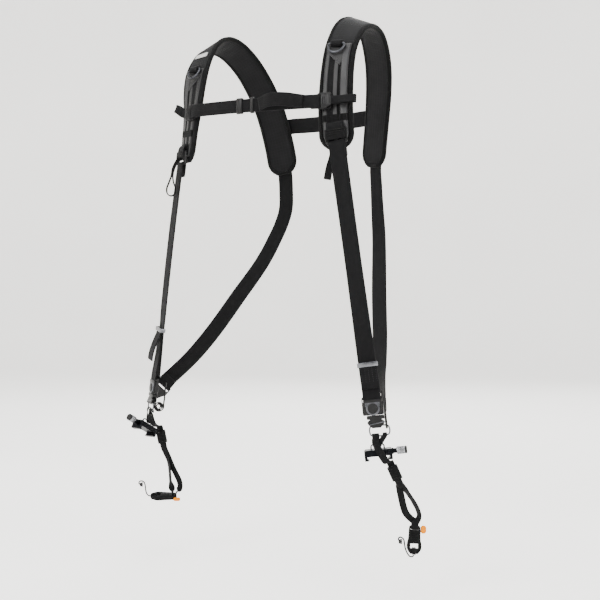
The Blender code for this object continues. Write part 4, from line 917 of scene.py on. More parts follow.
def ringPoints():
    # the carrying ring, a rounded rectangle whose upper run is the bar
    return rounded(hips["ringW"] / 2, ringLow, -hips["ringDrop"], hips["ringCorner"])


linkFit = {
    "linkT": 0.003,
    "linkL": 0.036,
    "linkLean": 36.0,
    "crossUp": 0.075,
    "crossBow": 0.006,
}
linkIn = hips["bodyW"] / 2 + linkFit["linkT"] / 2 + cloth["gap"] * 2


def linkPlace(side):
    # the back link hangs on the ring's bar beside the connector and leans back along its strap
    base = hip(side)
    lean = math.radians(linkFit["linkLean"])
    up = axis(base, 1) * math.cos(lean) - axis(base, 2) * math.sin(lean)
    across = -(axis(base, 2) * math.cos(lean) + axis(base, 1) * math.sin(lean))
    return placeOf(at(base, side * linkIn, -hips["ringDrop"], 0), across, up)


linkBarY = linkFit["linkL"] - lockFit["bar"] / 2

# Straps between the pads and the hips

strapFit = {
    "strapBow": 0.002,
    "strapTurn": {1: 10.0, -1: 28.0},
    "sliderUp": {1: 0.04, -1: 0.074},
    "sliderBar": 0.0062,
    "sliderWall": 0.0013,
    "tailL": {1: 0.03, -1: 0.046},
    "tailBow": {1: 0.0015, -1: 0.007},
    "sewnL": 0.02,
    "tailRows": ((0.3, 0.45), (0.6, 0.85), (0.85, 1.0), (1.0, 0.95)),
    "frontRun": (
        (0.12, 0.35, 0.5, 0.0), (0.3, 0.85, 1.0, 0.0), (0.5, 1.0, 1.0, 0.0), (0.7, 0.85, 0.7, 0.3),
        (0.86, 0.45, 0.2, 0.8),
    ),
    "backRun": (
        (0.011, -0.015, 0.171, 170, 166), (0.112, 0.074, 0.315, 174, 160),
        (0.226, 0.202, 0.443, 176, 152), (0.384, 0.383, 0.581, 176, 142),
        (0.577, 0.593, 0.745, 172, 132), (0.762, 0.795, 0.88, 152, 125),
    ),
}


def blendAcross(a, b, t):
    return (Vector(a).lerp(Vector(b), t)).normalized()


def frontRows(side):
    # from the tail behind the ladder lock, over its lower bar, down to the connector and back up
    lock = lockPlace(side)
    low = -(lockFit["height"] - lockFit["bar"]) / 2
    path = [(low - lockFit["tailL"], -lockStand + 0.0008), (low - lockFit["tailL"] * 0.4, -lockStand)]
    path += [(low + y, -z) for y, z in lockWrap] + [(low - 0.004, lockStand)]
    rows = rowsOn(lock, path)
    start = rows[-1][0]
    base = hip(side)
    end = at(base, 0, barY + 0.006, -hips["bodyT"] / 2 - webStand)
    out = axis(base, 2) * strapFit["strapBow"]
    ownTurn = axis(facing(start, side * strapFit["strapTurn"][side]), 0)
    for along, bow, own, toHip in strapFit["frontRun"]:
        across = axis(lock, 0) * (1 - own - toHip) + ownTurn * own + axis(base, 0) * toHip
        rows.append((start.lerp(end, along) + out * bow, across.normalized()))
    rows.append((end, axis(base, 0)))
    under = [(barY - y, -z) for y, z in wrap(hips["bodyBar"] / 2, hips["bodyT"] / 2, webStand)]
    return rows + rowsOn(base, under), start, end, out


def strapSliderPlace(side):
    # halfway through the layers, square to the strap
    _, start, end, out = frontRows(side)
    base = hip(side)
    run = (start - end).normalized()
    up = strapFit["sliderUp"][side]
    along = 1.0 - up / (start - end).length
    table = [(0.0, 0.0)] + [(a, b) for a, b, _, _ in strapFit["frontRun"]] + [(1.0, 0.0)]
    for (a0, b0), (a1, b1) in zip(table, table[1:]):
        if a0 <= along <= a1:
            bow = b0 + (b1 - b0) * (along - a0) / (a1 - a0)
    onStrap = start.lerp(end, along) + out * bow
    return placeOf(onStrap, axis(base, 0), run)


sliderRoom = 3 * cloth["webT"] + 2 * cloth["layerGap"] + 2 * cloth["gap"]

# Chest band

chest = {
    "up": {1: 0.069, -1: 0.075},
    "lockW": 0.02,
    "lockH": 0.024,
    "lockIn": 0.014,
    "lockCorner": 0.0015,
    "turnL": 0.012,
    "loopReach": {1: 0.007, -1: -0.003},
    "lift": 0.0007,
    "loopRise": {1: 0.0, -1: 0.016},
    "loopOut": {1: 0.0, -1: 0.005},
    "loopLift": 0.0003,
    "loopLean": 22.0,
    "chestBow": 0.008,
    "bowFrom": 0.019,
    "bowTo": 0.093,
    "bowOut": 0.007,
    "bowUp": 0.005,
    "keeperX": -0.017,
    "keeperL": 0.01,
    "sliderX": 0.006,
    "sliderL": 0.005,
    "sleeveWall": 0.0011,
    "bowRows": (
        (0.0, 0.0, 0.0), (0.12, 0.35, 0.45), (0.28, 0.85, 0.9), (0.48, 1.0, 1.0),
        (0.7, 0.7, 0.75), (0.88, 0.2, 0.3), (1.0, 0.0, 0.0),
    ),
}


def sternumPlace(side):
    # the lock lies over the inner half of the pad, its bars along the pad
    pad = padAt(side, chest["up"][side])
    inward = at(pad, -side * chest["lockIn"], 0, overPanel(lockHalf) + chest["lift"])
    return placeOf(inward, -axis(pad, 1), side * axis(pad, 0))


def sternumLine():
    # the band's own line from the right lock to the left lock, as (point, across)
    ends = {}
    bar = -(chest["lockW"] - lockFit["bar"]) / 2
    for side in (1, -1):
        place = sternumPlace(side)
        pad = padAt(side, chest["up"][side])
        face = 1 if axis(place, 2).dot(axis(pad, 2)) > 0 else -1
        under = [(bar - chest["turnL"], -lockStand + 0.0004)] + [(bar + y, -z) for y, z in lockWrap]
        turned = [(y, face * z) for y, z in under + [(bar - 0.006, lockStand)]]
        rows = rowsOn(place, turned, axis(pad, 1))
        ends[side] = (rows[:-1], rows[-1])
    return ends


def chestPoint(x):
    # a point of the band's main layer over the chest at a given x
    ends = sternumLine()
    a = ends[-1][1][0]
    b = ends[1][1][0]
    t = (x - a.x) / (b.x - a.x)
    bow = chest["chestBow"] * 4 * t * (1 - t)
    return a.lerp(b, t) - Vector((0, bow, 0))


def chestPlace(x):
    p = chestPoint(x)
    ahead = chestPoint(x + 0.002) - chestPoint(x - 0.002)
    return placeOf(p, ahead, Vector((0, 0, 1)))


# Clamps under the hips

clampFit = {
    "length": 0.038,
    "height": 0.009,
    "screwR": 0.0022,
    "screwL": 0.022,
    "collarR": 0.0044,
    "collarL": 0.0018,
    "neckR": 0.0034,
    "neckL": 0.0045,
    "knobR": 0.0053,
    "knobL": 0.0142,
    "capL": 0.0034,
    "threads": 22,
    "ridges": 30,
    "bailH": 0.0065,
    "at": {1: (0.22, -0.0935, -0.613), -1: (-0.2145, -0.088, -0.606)},
    "turn": {1: 33.0, -1: -95.0},
    "tilt": {1: 6.0, -1: 28.0},
    "hangerW": 0.006,
    "hangerRoom": 0.001,
    "hangerLow": 0.003,
    "hangerT": 0.0014,
}


def clampPlace(side):
    # x runs along the screw towards the knob, y up from the seat, z across the clamp
    turn = math.radians(clampFit["turn"][side])
    tilt = math.radians(clampFit["tilt"][side])
    along = Vector((math.cos(turn) * math.cos(tilt), math.sin(turn) * math.cos(tilt), math.sin(tilt)))
    up = Vector((-math.cos(turn) * math.sin(tilt), -math.sin(turn) * math.sin(tilt), math.cos(tilt)))
    return placeOf(clampFit["at"][side], along, up)


# Tethers

tetherFit = {
    "sliderL": 0.02,
    "sliderWall": 0.0016,
    "blockL": 0.038,
    "blockT": 0.006,
    "linkBar": 0.003,
    "tabL": 0.0105,
    "tabW": 0.0075,
    "over": {
        1: ((0.22, -0.1012, -0.595), (0.229, -0.103, -0.6085), (0.2358, -0.0985, -0.62)),
        -1: ((-0.1945, -0.0945, -0.586), (-0.1865, -0.096, -0.596)),
    },
    "sliderAt": {1: (0.2408, -0.085, -0.636), -1: (-0.1865, -0.078, -0.617)},
    "sliderLean": {1: 24.0, -1: 12.0},
    "down": {
        1: ((0.2432, -0.0765, -0.656), (0.2452, -0.0735, -0.673), (0.2495, -0.07, -0.692)),
        -1: ((-0.1855, -0.0715, -0.639), (-0.184, -0.063, -0.664), (-0.1835, -0.06, -0.69)),
    },
    "up": {
        1: ((0.2645, -0.059, -0.696), (0.26, -0.062, -0.681), (0.251, -0.0685, -0.664)),
        -1: ((-0.1712, -0.0515, -0.7), (-0.1725, -0.0522, -0.688), (-0.18, -0.0578, -0.669)),
    },
    "linkAt": {1: (0.259, -0.063, -0.729), -1: (-0.1925, -0.0665, -0.7135)},
    "linkAim": {1: -92.0, -1: 180.0},
    "linkRoll": {1: 0.0, -1: 72.0},
    "linkLead": {1: 0.006, -1: 0.003},
    "downTurn": {1: 0.25, -1: 0.65},
    "upTurn": {1: 0.6, -1: 0.3},
}


tetherRoom = 2 * cloth["tetherT"] + cloth["layerGap"] + 4 * cloth["gap"]


def tetherSliderPlace(side):
    look = facing(tetherFit["sliderAt"][side], photo["turn"])
    lean = math.radians(tetherFit["sliderLean"][side])
    down = axis(look, 0) * math.sin(lean) - axis(look, 1) * math.cos(lean)
    across = axis(look, 0) * math.cos(lean) + axis(look, 1) * math.sin(lean)
    return placeOf(tetherFit["sliderAt"][side], across, -down)


def blockPlace(side):
    # y runs from the block's strap end to its cord end, x across it, z out of its face
    look = facing((0, 0, 0), photo["turn"])
    aim = math.radians(tetherFit["linkAim"][side])
    along = axis(look, 0) * math.cos(aim) + axis(look, 1) * math.sin(aim)
    across = axis(look, 0) * math.sin(aim) - axis(look, 1) * math.cos(aim)
    roll = Matrix.Rotation(math.radians(tetherFit["linkRoll"][side]), 4, "Y")
    return placeOf(tetherFit["linkAt"][side], across, along) @ roll


def padPlace(side, distance):
    # the smooth place at a distance along a pad, kept close to the stations of its line
    return padLines[side][min(max(round(distance / padFine), 0), len(padLines[side]) - 1)]


padFine = 0.001


def padLine(side):
    rows = [(place.to_translation(), axis(place, 0)) for d, place in pads[side]]
    fine = frames(refine(rows, 0.0008))
    far = distancesAlong([place.to_translation() for place in fine])
    scale = padLength / far[-1]
    made = []
    k = 0
    for i in range(round(padLength / padFine) + 1):
        while k < len(far) - 2 and far[k + 1] * scale < i * padFine:
            k += 1
        made.append(fine[k])
    return made


padLines = {side: padLine(side) for side in sides.values()}
print("stage: routes")

# Padded shoulder pads: nylon cushions, filled by a pressure simulation, with a bound edge
cushion = {
    "edgeHalf": 0.0014,
    "middleHalf": 0.0038,
    "fullHalf": 0.0044,
    "columns": 22,
    "step": 0.0034,
    "cap": 0.0016,
    "bound": 0.006,
    "tapeT": 0.0006,
    "end": 0.012,
    "pressure": 4.0,
    "frames": 20,
}


def cushionHalf(share):
    # half the cushion's thickness at a share of its half width, before it is filled
    rise = (1.0 - min(abs(share), 1.0) ** 5) ** 0.7
    return cushion["edgeHalf"] + (cushion["middleHalf"] - cushion["edgeHalf"]) * rise


def padHalf(distance):
    return padFit["width"] * endShare(distance) / 2


def padPoint(side, x, distance, z):
    return at(padPlace(side, distance), x, 0, z)


def makeCushion(prefix, side):
    count = cushion["columns"]
    ends = [0.0, 0.0012, 0.003, 0.0055, 0.0085]
    straight = padLength - 2 * cushion["end"]
    middle = round(straight / cushion["step"])
    distances = ends + [cushion["end"] + straight * k / middle for k in range(middle + 1)]
    distances += [padLength - d for d in reversed(ends)]
    rings = []
    maps = []
    pinned = []
    for d in distances:
        half = padHalf(d)
        nearEnd = min(1.0, min(d, padLength - d) / cushion["end"])
        ring = []
        row = []
        for k in range(2 * count):
            share = -1.0 + 2.0 * (k % count) / count if k < count else 1.0 - 2.0 * (k % count) / count
            face = 1 if k < count else -1
            thick = cushion["edgeHalf"] + (cushionHalf(share) - cushion["edgeHalf"]) * math.sqrt(nearEnd)
            if k % count == 0:
                thick = 0.0
            ring.append(padPoint(side, share * half, d, face * thick))
            row.append((share * half + (0.0 if face > 0 else 0.2), d))
            pinned.append(abs(share) * half > half - cushion["bound"] or nearEnd < 0.6)
        rings.append(ring)
        maps.append(row)
    bm = bmesh.new()
    skin(bm, rings, maps)
    bmesh.ops.recalc_face_normals(bm, faces=bm.faces)
    made = newObject(prefix + "shoulder_cushion", bm, "ripstop")
    fill(made, pinned)
    flatten(made, side, distances)
    step = made.modifiers.new("finer", "SUBSURF")
    step.levels = 1
    step.render_levels = 1
    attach(made, "harness")
    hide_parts(prefix + "shoulder_pad")


def fill(made, pinned):
    # air pressure fills the cushion for 20 frames while its bound edge stays put
    mesh = made.data
    start = [v.co.copy() for v in mesh.vertices]
    group = made.vertex_groups.new(name="bound edge")
    group.add([k for k, fixed in enumerate(pinned) if fixed], 1.0, "REPLACE")
    step = made.modifiers.new("filling", "CLOTH")
    step.settings.vertex_group_mass = "bound edge"
    step.settings.use_pressure = True
    step.settings.uniform_pressure_force = cushion["pressure"]
    step.settings.effector_weights.gravity = 0.0
    step.point_cache.frame_start = 1
    step.point_cache.frame_end = cushion["frames"]
    scene = bpy.context.scene
    for number in range(1, cushion["frames"] + 1):
        scene.frame_set(number)
    seen = made.evaluated_get(bpy.context.evaluated_depsgraph_get()).to_mesh()
    moved = [v.co.copy() for v in seen.vertices]
    made.modifiers.remove(step)
    for k, vertex in enumerate(mesh.vertices):
        shift = moved[k] - start[k]
        if shift.length > cushion["cap"]:
            shift = shift.normalized() * cushion["cap"]
        vertex.co = start[k] + shift
    scene.frame_set(1)
    print("  filled", made.name)


def flatten(made, side, distances):
    # the filled cushion keeps under the panel and straps that are sewn over it
    count = 2 * cushion["columns"]
    for k, vertex in enumerate(made.data.vertices):
        place = padPlace(side, distances[k // count])
        own = place.inverted() @ vertex.co
        own.z = max(-cushion["fullHalf"], min(cushion["fullHalf"], own.z))
        vertex.co = place @ own


def padRise(x, distance):
    # how much thicker the pad is at a spot than at its edge
    half = max(padHalf(min(max(distance, 0.0), padLength)), 1e-4)
    nearEnd = min(1.0, max(min(distance, padLength - distance), 0.0) / cushion["end"])
    return (cushionHalf(min(abs(x) / half, 1.0)) - cushion["edgeHalf"]) * math.sqrt(nearEnd)


def makeBinding(prefix, side):
    # a folded tape round the whole edge, from the front face over the rim to the back
    steps = round((padLength - 0.004) / 0.0025)
    inset = cushion["bound"]
    distances = [0.0006 * k for k in range(12)]
    distances += [0.0072 + (padLength - 0.0144) * k / steps for k in range(steps + 1)]
    distances += [padLength - 0.0066 + 0.0006 * k for k in range(12)]
    left = [(-padHalf(d), d) for d in distances]
    points = [Vector(p) for p in left + [(-x, d) for x, d in reversed(left)]]
    count = len(points)
    edge = cushion["edgeHalf"] + cushion["tapeT"]
    front = [(inset, 0.0), (inset * 0.98, 1.0), (inset * 0.5, 1.0), (inset * 0.15, 0.9), (-0.0003, 0.45)]
    profile = [(x, z, 1) for x, z in front] + [(x, z, -1) for x, z in reversed(front)]
    reach = 0.0
    rings = []
    maps = []
    inwards = []
    for k, p in enumerate(points):
        run = points[(k + 1) % count] - points[k - 1]
        inwards.append(Vector((run.y, -run.x)).normalized())
        if k:
            reach += (p - points[k - 1]).length
        ring = []
        for inside, lift, face in profile:
            spot = p + inwards[k] * inside
            height = edge * (lift or 0.2) + padRise(spot.x, spot.y)
            ring.append(padPoint(side, spot.x, spot.y, face * height))
        rings.append(ring)
        maps.append([(inside * face, reach) for inside, lift, face in profile])
    maps.append([(x, reach + 0.002) for x, y in maps[0]])
    skinPiece(prefix + "pad_binding", rings, "tape", maps=maps, closed=True)
    # two rows of stitches hold the tape, one on each face
    spots = [points[k] + inwards[k] * inset * 0.72 for k in range(0, count, 2)]
    for face in (1, -1):
        line = [padPoint(side, p.x, p.y, face * (edge + padRise(p.x, p.y))) for p in spots]
        stitchLine(line, [axis(padPlace(side, p.y), 2) * face for p in spots], 0.0033)


# Leather-look panel sewn on the front of each pad: strips run down it, cross ribs near its lower end
panel = {
    "strips": (
        (-1.0, -0.62, 0.0002, "panelLeather"),
        (-0.62, -0.14, -0.0003, "webbing"),
        # the lit side of the raised webbing, in the lighter panel leather: painted highlight
        (-0.14, 0.2, 0.0003, "panelLeather"),
        # a strip in the darkest binding tape beside the raised webbing: painted shadow
        (0.2, 0.44, -0.0006, "tape"),
        # the outer strip, in the lighter leather whose colour is painted highlight
        (0.44, 1.0, 0.0002, "paintedHighlightLeather"),
    ),
    "ribFrom": 0.04,
    "ribs": 4,
    "ribPitch": 0.0026,
    "ribH": 0.0006,
    "seamFrom": 0.0115,
    "seamFall": 0.0155,
    "seamTo": 0.34,
    "seamW": 0.0046,
    "seamH": 0.0009,
    "step": 0.0014,
    "columns": 44,
    "plainTo": 0.44,
}


def slantAt(own, high):
    # how far up the pad the slanting seam runs, at a share of the panel's half width
    return high - panel["seamFrom"] - panel["seamFall"] * (1.0 + own)


def panelHeight(side, share, distance, high):
    # the panel's relief: strips below the slanting seam, and cross ribs near the lower end
    height = 0.0
    if distance > slantAt(share * side, high) and share * side < panel["plainTo"]:
        return height
    for low, top, lift, look in panel["strips"]:
        if low <= share * side <= top:
            inside = min(share * side - low, top - share * side) / 0.08
            height = lift * min(1.0, inside)
    for k in range(panel["ribs"]):
        off = abs(distance - panel["ribFrom"] - k * panel["ribPitch"]) / (panel["ribPitch"] * 0.5)
        if off < 1.0:
            height = max(height, panel["ribH"] * math.cos(off * math.pi / 2))
    return height


def makeSeamBand(prefix, side, high):
    # the slanting seam: a folded strip of the panel's leather, sewn down on both sides, in the lighter
    # leather whose colour is painted highlight
    stations = 16
    width = panel["seamW"]
    half = ((-0.5, -0.5), (-0.5, 0.4), (-0.42, 0.9), (-0.1, 1.0))
    section = half + tuple((-y, z) for y, z in reversed(half))
    rings = []
    maps = []
    sewn = {-0.36: [], 0.36: []}
    outs = []
    for k in range(stations + 1):
        own = -0.97 + (panel["seamTo"] + 0.97) * k / stations
        d = slantAt(own, high)
        x = own * side * (padHalf(d) - padFit["border"])
        rings.append([padPoint(side, x, d + y * width, panelTop + z * panel["seamH"]) for y, z in section])
        maps.append([(y * width, x) for y, z in section])
        for y, line in sewn.items():
            line.append(padPoint(side, x, d + y * width, panelTop + panel["seamH"] * 0.92))
        outs.append(axis(padPlace(side, d), 2))
    skinPiece(prefix + "panel_seam_band", rings, "paintedHighlightLeather", maps=maps, sharp=50)
    for line in sewn.values():
        stitchLine(line, outs, 0.0026)


panelLooks = ("leather", "webbing", "paintedHighlightLeather", "tape", "panelLeather")


def panelLook(own, distance, high):
    # the finish of a spot at a share of the panel's half width: plain above the seam, strips below it
    if distance > slantAt(own, high) and own < panel["plainTo"]:
        return "leather"
    if 0 <= distance - panel["ribFrom"] + panel["ribPitch"] / 2 < panel["ribs"] * panel["ribPitch"]:
        return "tape"
    return [look for low, top, lift, look in panel["strips"] if low <= own <= top][0]


def makePanel(prefix, side):
    high = dRing["up"][side] + padFit["panelOverRing"]
    low = padFit["panelLow"]
    rows = round((high - low) / panel["step"])
    columns = panel["columns"]
    distances = [low + (high - low) * k / rows for k in range(rows + 1)]
    halves = [padHalf(d) - padFit["border"] for d in distances]
    top = panelTop - 0.00005
    bm = bmesh.new()
    layer = bm.loops.layers.uv.new("cloth")
    grid = []
    for k, (d, half) in enumerate(zip(distances, halves)):
        line = []
        for i in range(columns + 1):
            share = -1.0 + 2.0 * i / columns
            z = top + panelHeight(side, share, d, high)
            if i in (0, columns) or k in (0, rows):
                z = top - 0.001
            elif i in (1, columns - 1) or k in (1, rows - 1):
                z -= 0.0002
            line.append((bm.verts.new(padPoint(side, share * half, d, z)), share, (share * half, d)))
        grid.append(line)
    for k in range(rows):
        for i in range(columns):
            corners = (grid[k][i], grid[k][i + 1], grid[k + 1][i + 1], grid[k + 1][i])
            face = bm.faces.new([vert for vert, share, spot in corners])
            middle = side * (corners[0][1] + corners[1][1]) / 2
            face.material_index = panelLooks.index(panelLook(middle, distances[k], high))
            for loop, (vert, share, spot) in zip(face.loops, corners):
                loop[layer].uv = spot
    edges = [e for e in bm.edges if e.is_boundary]
    skirt = bmesh.ops.extrude_edge_only(bm, edges=edges)["geom"]
    for v in [g for g in skirt if isinstance(g, bmesh.types.BMVert)]:
        v.co -= axis(nearestPadPlace(side, v.co), 2) * 0.0012
    replaced = [prefix + "pad_panel"]
    finishPiece(prefix + "pad_panel_leather", bm, panelLooks[0], replaced, 60, more=panelLooks[1:])
    makeSeamBand(prefix, side, high)
    # stitches round the panel and beside its strips
    for share in (-0.93, -0.66, 0.93, 0.4):
        spots = []
        outs = []
        for d, half in list(zip(distances, halves))[2 : rows - 1]:
            height = panelTop + panelHeight(side, share * side, d, high)
            spots.append(padPoint(side, share * side * half, d, height))
            outs.append(axis(padPlace(side, d), 2))
        stitchLine(spots, outs, 0.003)


def nearestPadPlace(side, spot):
    return min(padLines[side][::6], key=lambda place: (place.to_translation() - spot).length_squared)


# The bare woven label above the right ring, in the place of a printed bar
label = {"up": 0.176, "across": 0.03, "along": 0.0085, "lift": 0.0007, "slant": -8.0}


def makeLabel():
    rings = []
    maps = []
    for k in range(9):
        x = label["across"] * (k / 8 - 0.5)
        slant = math.tan(math.radians(label["slant"])) * x
        ring = []
        row = []
        for y, z in ((-0.5, 0.0), (-0.5, 0.8), (-0.44, 1.0), (0.44, 1.0), (0.5, 0.8), (0.5, 0.0)):
            base = padPlace(-1, label["up"] + y * label["along"] + slant)
            ring.append(at(base, x, 0, cushion["fullHalf"] + z * label["lift"]))
            row.append((x, y * label["along"]))
        rings.append(ring)
        maps.append(row)
    skinPiece("right_pad_label", rings, "label", maps=maps)


for prefix, side in sides.items():
    makeCushion(prefix, side)
    makeBinding(prefix, side)
    makePanel(prefix, side)
makeLabel()
print("stage: pads")

# Hard pieces that are made finer than their solids


def gridPlate(bm, xs, ys, solid, low, high, corner=0.0):
    # a plate of cells between the lines xs and ys, kept where solid(i, j) is true
    kept = {(i, j) for i in range(len(xs) - 1) for j in range(len(ys) - 1) if solid(i, j)}
    verts = {}

    def vert(i, j, k):
        if (i, j, k) not in verts:
            verts[(i, j, k)] = bm.verts.new((xs[i], ys[j], (low, high)[k]))
        return verts[(i, j, k)]

    for i, j in kept:
        for k in (0, 1):
            bm.faces.new((vert(i, j, k), vert(i + 1, j, k), vert(i + 1, j + 1, k), vert(i, j + 1, k)))
        walls = (
            ((i, j), (i + 1, j), (i, j - 1)),
            ((i + 1, j), (i + 1, j + 1), (i + 1, j)),
            ((i + 1, j + 1), (i, j + 1), (i, j + 1)),
            ((i, j + 1), (i, j), (i - 1, j)),
        )
        for a, b, beyond in walls:
            if beyond not in kept:
                bm.faces.new((vert(*a, 0), vert(*b, 0), vert(*b, 1), vert(*a, 1)))
    if corner:
        def atCorner(v):
            nearX = min(abs(v.co.x - xs[0]), abs(v.co.x - xs[-1]))
            nearY = min(abs(v.co.y - ys[0]), abs(v.co.y - ys[-1]))
            return max(nearX, nearY) < 1e-6

        upright = [e for e in bm.edges if abs(e.verts[0].co.z - e.verts[1].co.z) > 1e-6]
        posts = [e for e in upright if all(atCorner(v) for v in e.verts)]
        bmesh.ops.bevel(bm, geom=posts, offset=corner, segments=2, affect="EDGES", profile=0.5)


def soften(bm, width, least=30):
    # rounds every edge that turns by more than the least angle
    least = math.radians(least)
    sharp = [e for e in bm.edges if len(e.link_faces) == 2 and e.calc_face_angle(0.0) > least]
    bmesh.ops.bevel(
        bm, geom=sharp, offset=width, segments=2, affect="EDGES", profile=0.5, clamp_overlap=True
    )


def slotted(name, place, width, height, bars, rail, corner=0.002):
    # a buckle: bars across x at the given y spans, joined by a rail down each side
    ys = sorted({-height / 2, height / 2} | {y for bar in bars for y in bar})
    xs = (-width / 2, -width / 2 + rail, width / 2 - rail, width / 2)

    def solid(i, j):
        y = (ys[j] + ys[j + 1]) / 2
        return i != 1 or any(low < y < high for low, high in bars)

    bm = bmesh.new()
    gridPlate(bm, xs, ys, solid, -lockHalf, lockHalf, corner)
    bmesh.ops.recalc_face_normals(bm, faces=bm.faces)
    soften(bm, 0.0005)
    bmesh.ops.transform(bm, matrix=place, verts=bm.verts)
    finishPiece(name + "_moulded", bm, "plastic", [name], 40)


def slabRings(place, stations):
    # rounded sections across the place, each as (y, half width, low, high, corner)
    rings = []
    for y, half, low, high, corner in stations:
        rings.append([at(place, x, y, z) for x, z in rounded(half, low, high, corner, 4)])
    return rings


def sleeve(name, place, width, thick, wall, length, look):
    # a flat tube round a band with rounded corners: x across it, y along it, z through it
    lip = min(wall * 0.3, length * 0.15)
    half = length / 2
    walls = ((wall - lip, -half), (wall, -half + lip), (wall, half - lip), (wall - lip, half), (0.0, half))
    stations = []
    for extra, y in walls + ((0.0, -half),):
        t = thick / 2 + extra
        stations.append((y, width / 2 + extra, -t, t, 0.0002 + extra * 0.7))
    skinPiece(name + "_sleeve", slabRings(place, stations), look, [name], closed=True, sharp=50)


def wire(name, place, points, radius, look, count):
    # a smooth round wire through the given points of its line
    fine = wireCurve([(x, y, 0.0) for x, y in points], radius * 0.6)
    bm = bmesh.new()
    tube(bm, [place @ Vector(p) for p in fine], radius, count)
    finishPiece(name + "_wire", bm, look, [name])


def dress(name, look, edge=0.0004):
    # a solid whose shape is right keeps it, with its edges rounded and its own finish
    piece = nodes[name]
    piece.data.materials.clear()
    piece.data.materials.append(looks[look])
    weld = piece.modifiers.new("weld", "WELD")
    weld.merge_threshold = 0.00001
    step = piece.modifiers.new("soft edges", "BEVEL")
    step.width = edge
    step.segments = 2
    step.limit_method = "ANGLE"
    step.angle_limit = math.radians(32)
    step.harden_normals = False


def ringAndTab(prefix, side):
    height = overPanel(dRing["wireR"])
    place = shifted(padAt(side, dRing["up"][side]), -side * dRing["in"], 0, height)
    bow = dPoints(dRing["width"], dRing["height"])
    wire(prefix + "d_ring", place, bow, dRing["wireR"], "gunmetal", 16)
    turn = [(-y, z) for y, z in wrap(0.0, 0.0, dRing["wireR"] + webStand, 3)]
    front = turn[0][1]
    path = [(dRing["tabL"], -front), (dRing["tabL"] * 0.5, -front)] + [(y, -z) for y, z in turn]
    path += [(dRing["tabL"] * 0.5, front * 0.9), (dRing["tabL"], -front + cloth["webT"] + cloth["layerGap"])]
    strap(prefix + "d_ring_tab", rowsOn(place, path), dRing["tabW"])


def ladderLock(prefix, side):
    place = lockPlace(side)
    high = lockFit["height"] / 2
    bar = lockFit["bar"]
    bars = ((high - bar, high), (-bar / 2, bar / 2), (-high, -high + bar))
    rail = (lockFit["width"] - cloth["webW"]) / 2 - 2 * cloth["gap"]
    slotted(prefix + "ladder_lock", place, lockFit["width"], lockFit["height"], bars, rail)
    top = (lockFit["height"] - bar) / 2
    tab = lockFit["tabL"]
    path = [(top + tab, -lockStand), (top + tab * 0.4, -lockStand)] + [(top - y, -z) for y, z in lockWrap]
    path += [(top + tab * 0.4, lockStand)]
    path += [(top + tab * 0.8, -lockStand + cloth["webT"] + cloth["layerGap"] + 0.0004)]
    strap(prefix + "lock_tab", rowsOn(place, path))
    makeLockCover(prefix, place)
    # raised grips on the outer bars
    grips = []
    for y in (high - bar / 2, -high + bar / 2):
        for k in range(9):
            spot = shifted(place, (k / 8 - 0.5) * lockFit["width"] * 0.72, y, lockHalf)
            grips.append(spot @ Matrix.Rotation(math.radians(90), 4, "Z"))
    repeat(prefix + "lock_grips", grips, gripShape, "plastic")
    stitchStrap(prefix + "lock_tab", 0.02, 0.25)
    stitchStrap(prefix + "lock_tab", 0.75, 0.98)


# The ribbed cover over each adjuster: its section, out from the frame, then its ribs
lockCover = {
    "section": ((0.0108, 0.003), (0.006, 0.0039), (0.0, 0.004), (-0.0036, 0.0039), (-0.0048, 0.0034)),
    "wall": 0.0011,
    "clear": 0.0131,
    "ribs": (0.0084, 0.0052, 0.002, -0.0012),
    "ribUp": 0.0039,
}


def makeLockCover(prefix, place):
    half = lockFit["width"] / 2
    foot = lockHalf - 0.0002
    wall = lockCover["wall"]
    clear = lockCover["clear"]
    section = lockCover["section"]
    ends = ((half, 0.35), (half - 0.0004, 0.75), (half - 0.0012, 0.96), (clear + 0.0002, 1.0))
    stations = [(-x, rise, True) for x, rise in ends] + [(-clear, 1.0, False), (clear, 1.0, False)]
    stations += [(x, rise, True) for x, rise in reversed(ends)]
    rings = []
    for x, rise, isWall in stations:
        outer = [(y, foot + (z + wall - foot) * rise) for y, z in section]
        inner = [(y, foot if isWall else z) for y, z in reversed(section)]
        rings.append([at(place, x, y, z) for y, z in outer + inner])
    skinPiece(prefix + "lock_cover", rings, "mattePlastic", sharp=40)
    ribs = [shifted(place, 0, y, lockCover["ribUp"] + wall) for y in lockCover["ribs"]]
    repeat(prefix + "lock_cover_ribs", ribs, coverRib, "mattePlastic")


# Ridges: half length, length of a tip, share of the size there, half width, half height, sides
coverRib = ridgeShape(0.0125, 0.0005, 0.4, 0.0008, 0.00056, 10)
gripShape = ridgeShape(0.0012, 0.0003, 0.3, 0.0007, 0.00035, 8)
fluteShape = ridgeShape(0.0045, 0.0005, 0.3, 0.0009, 0.00055, 10)

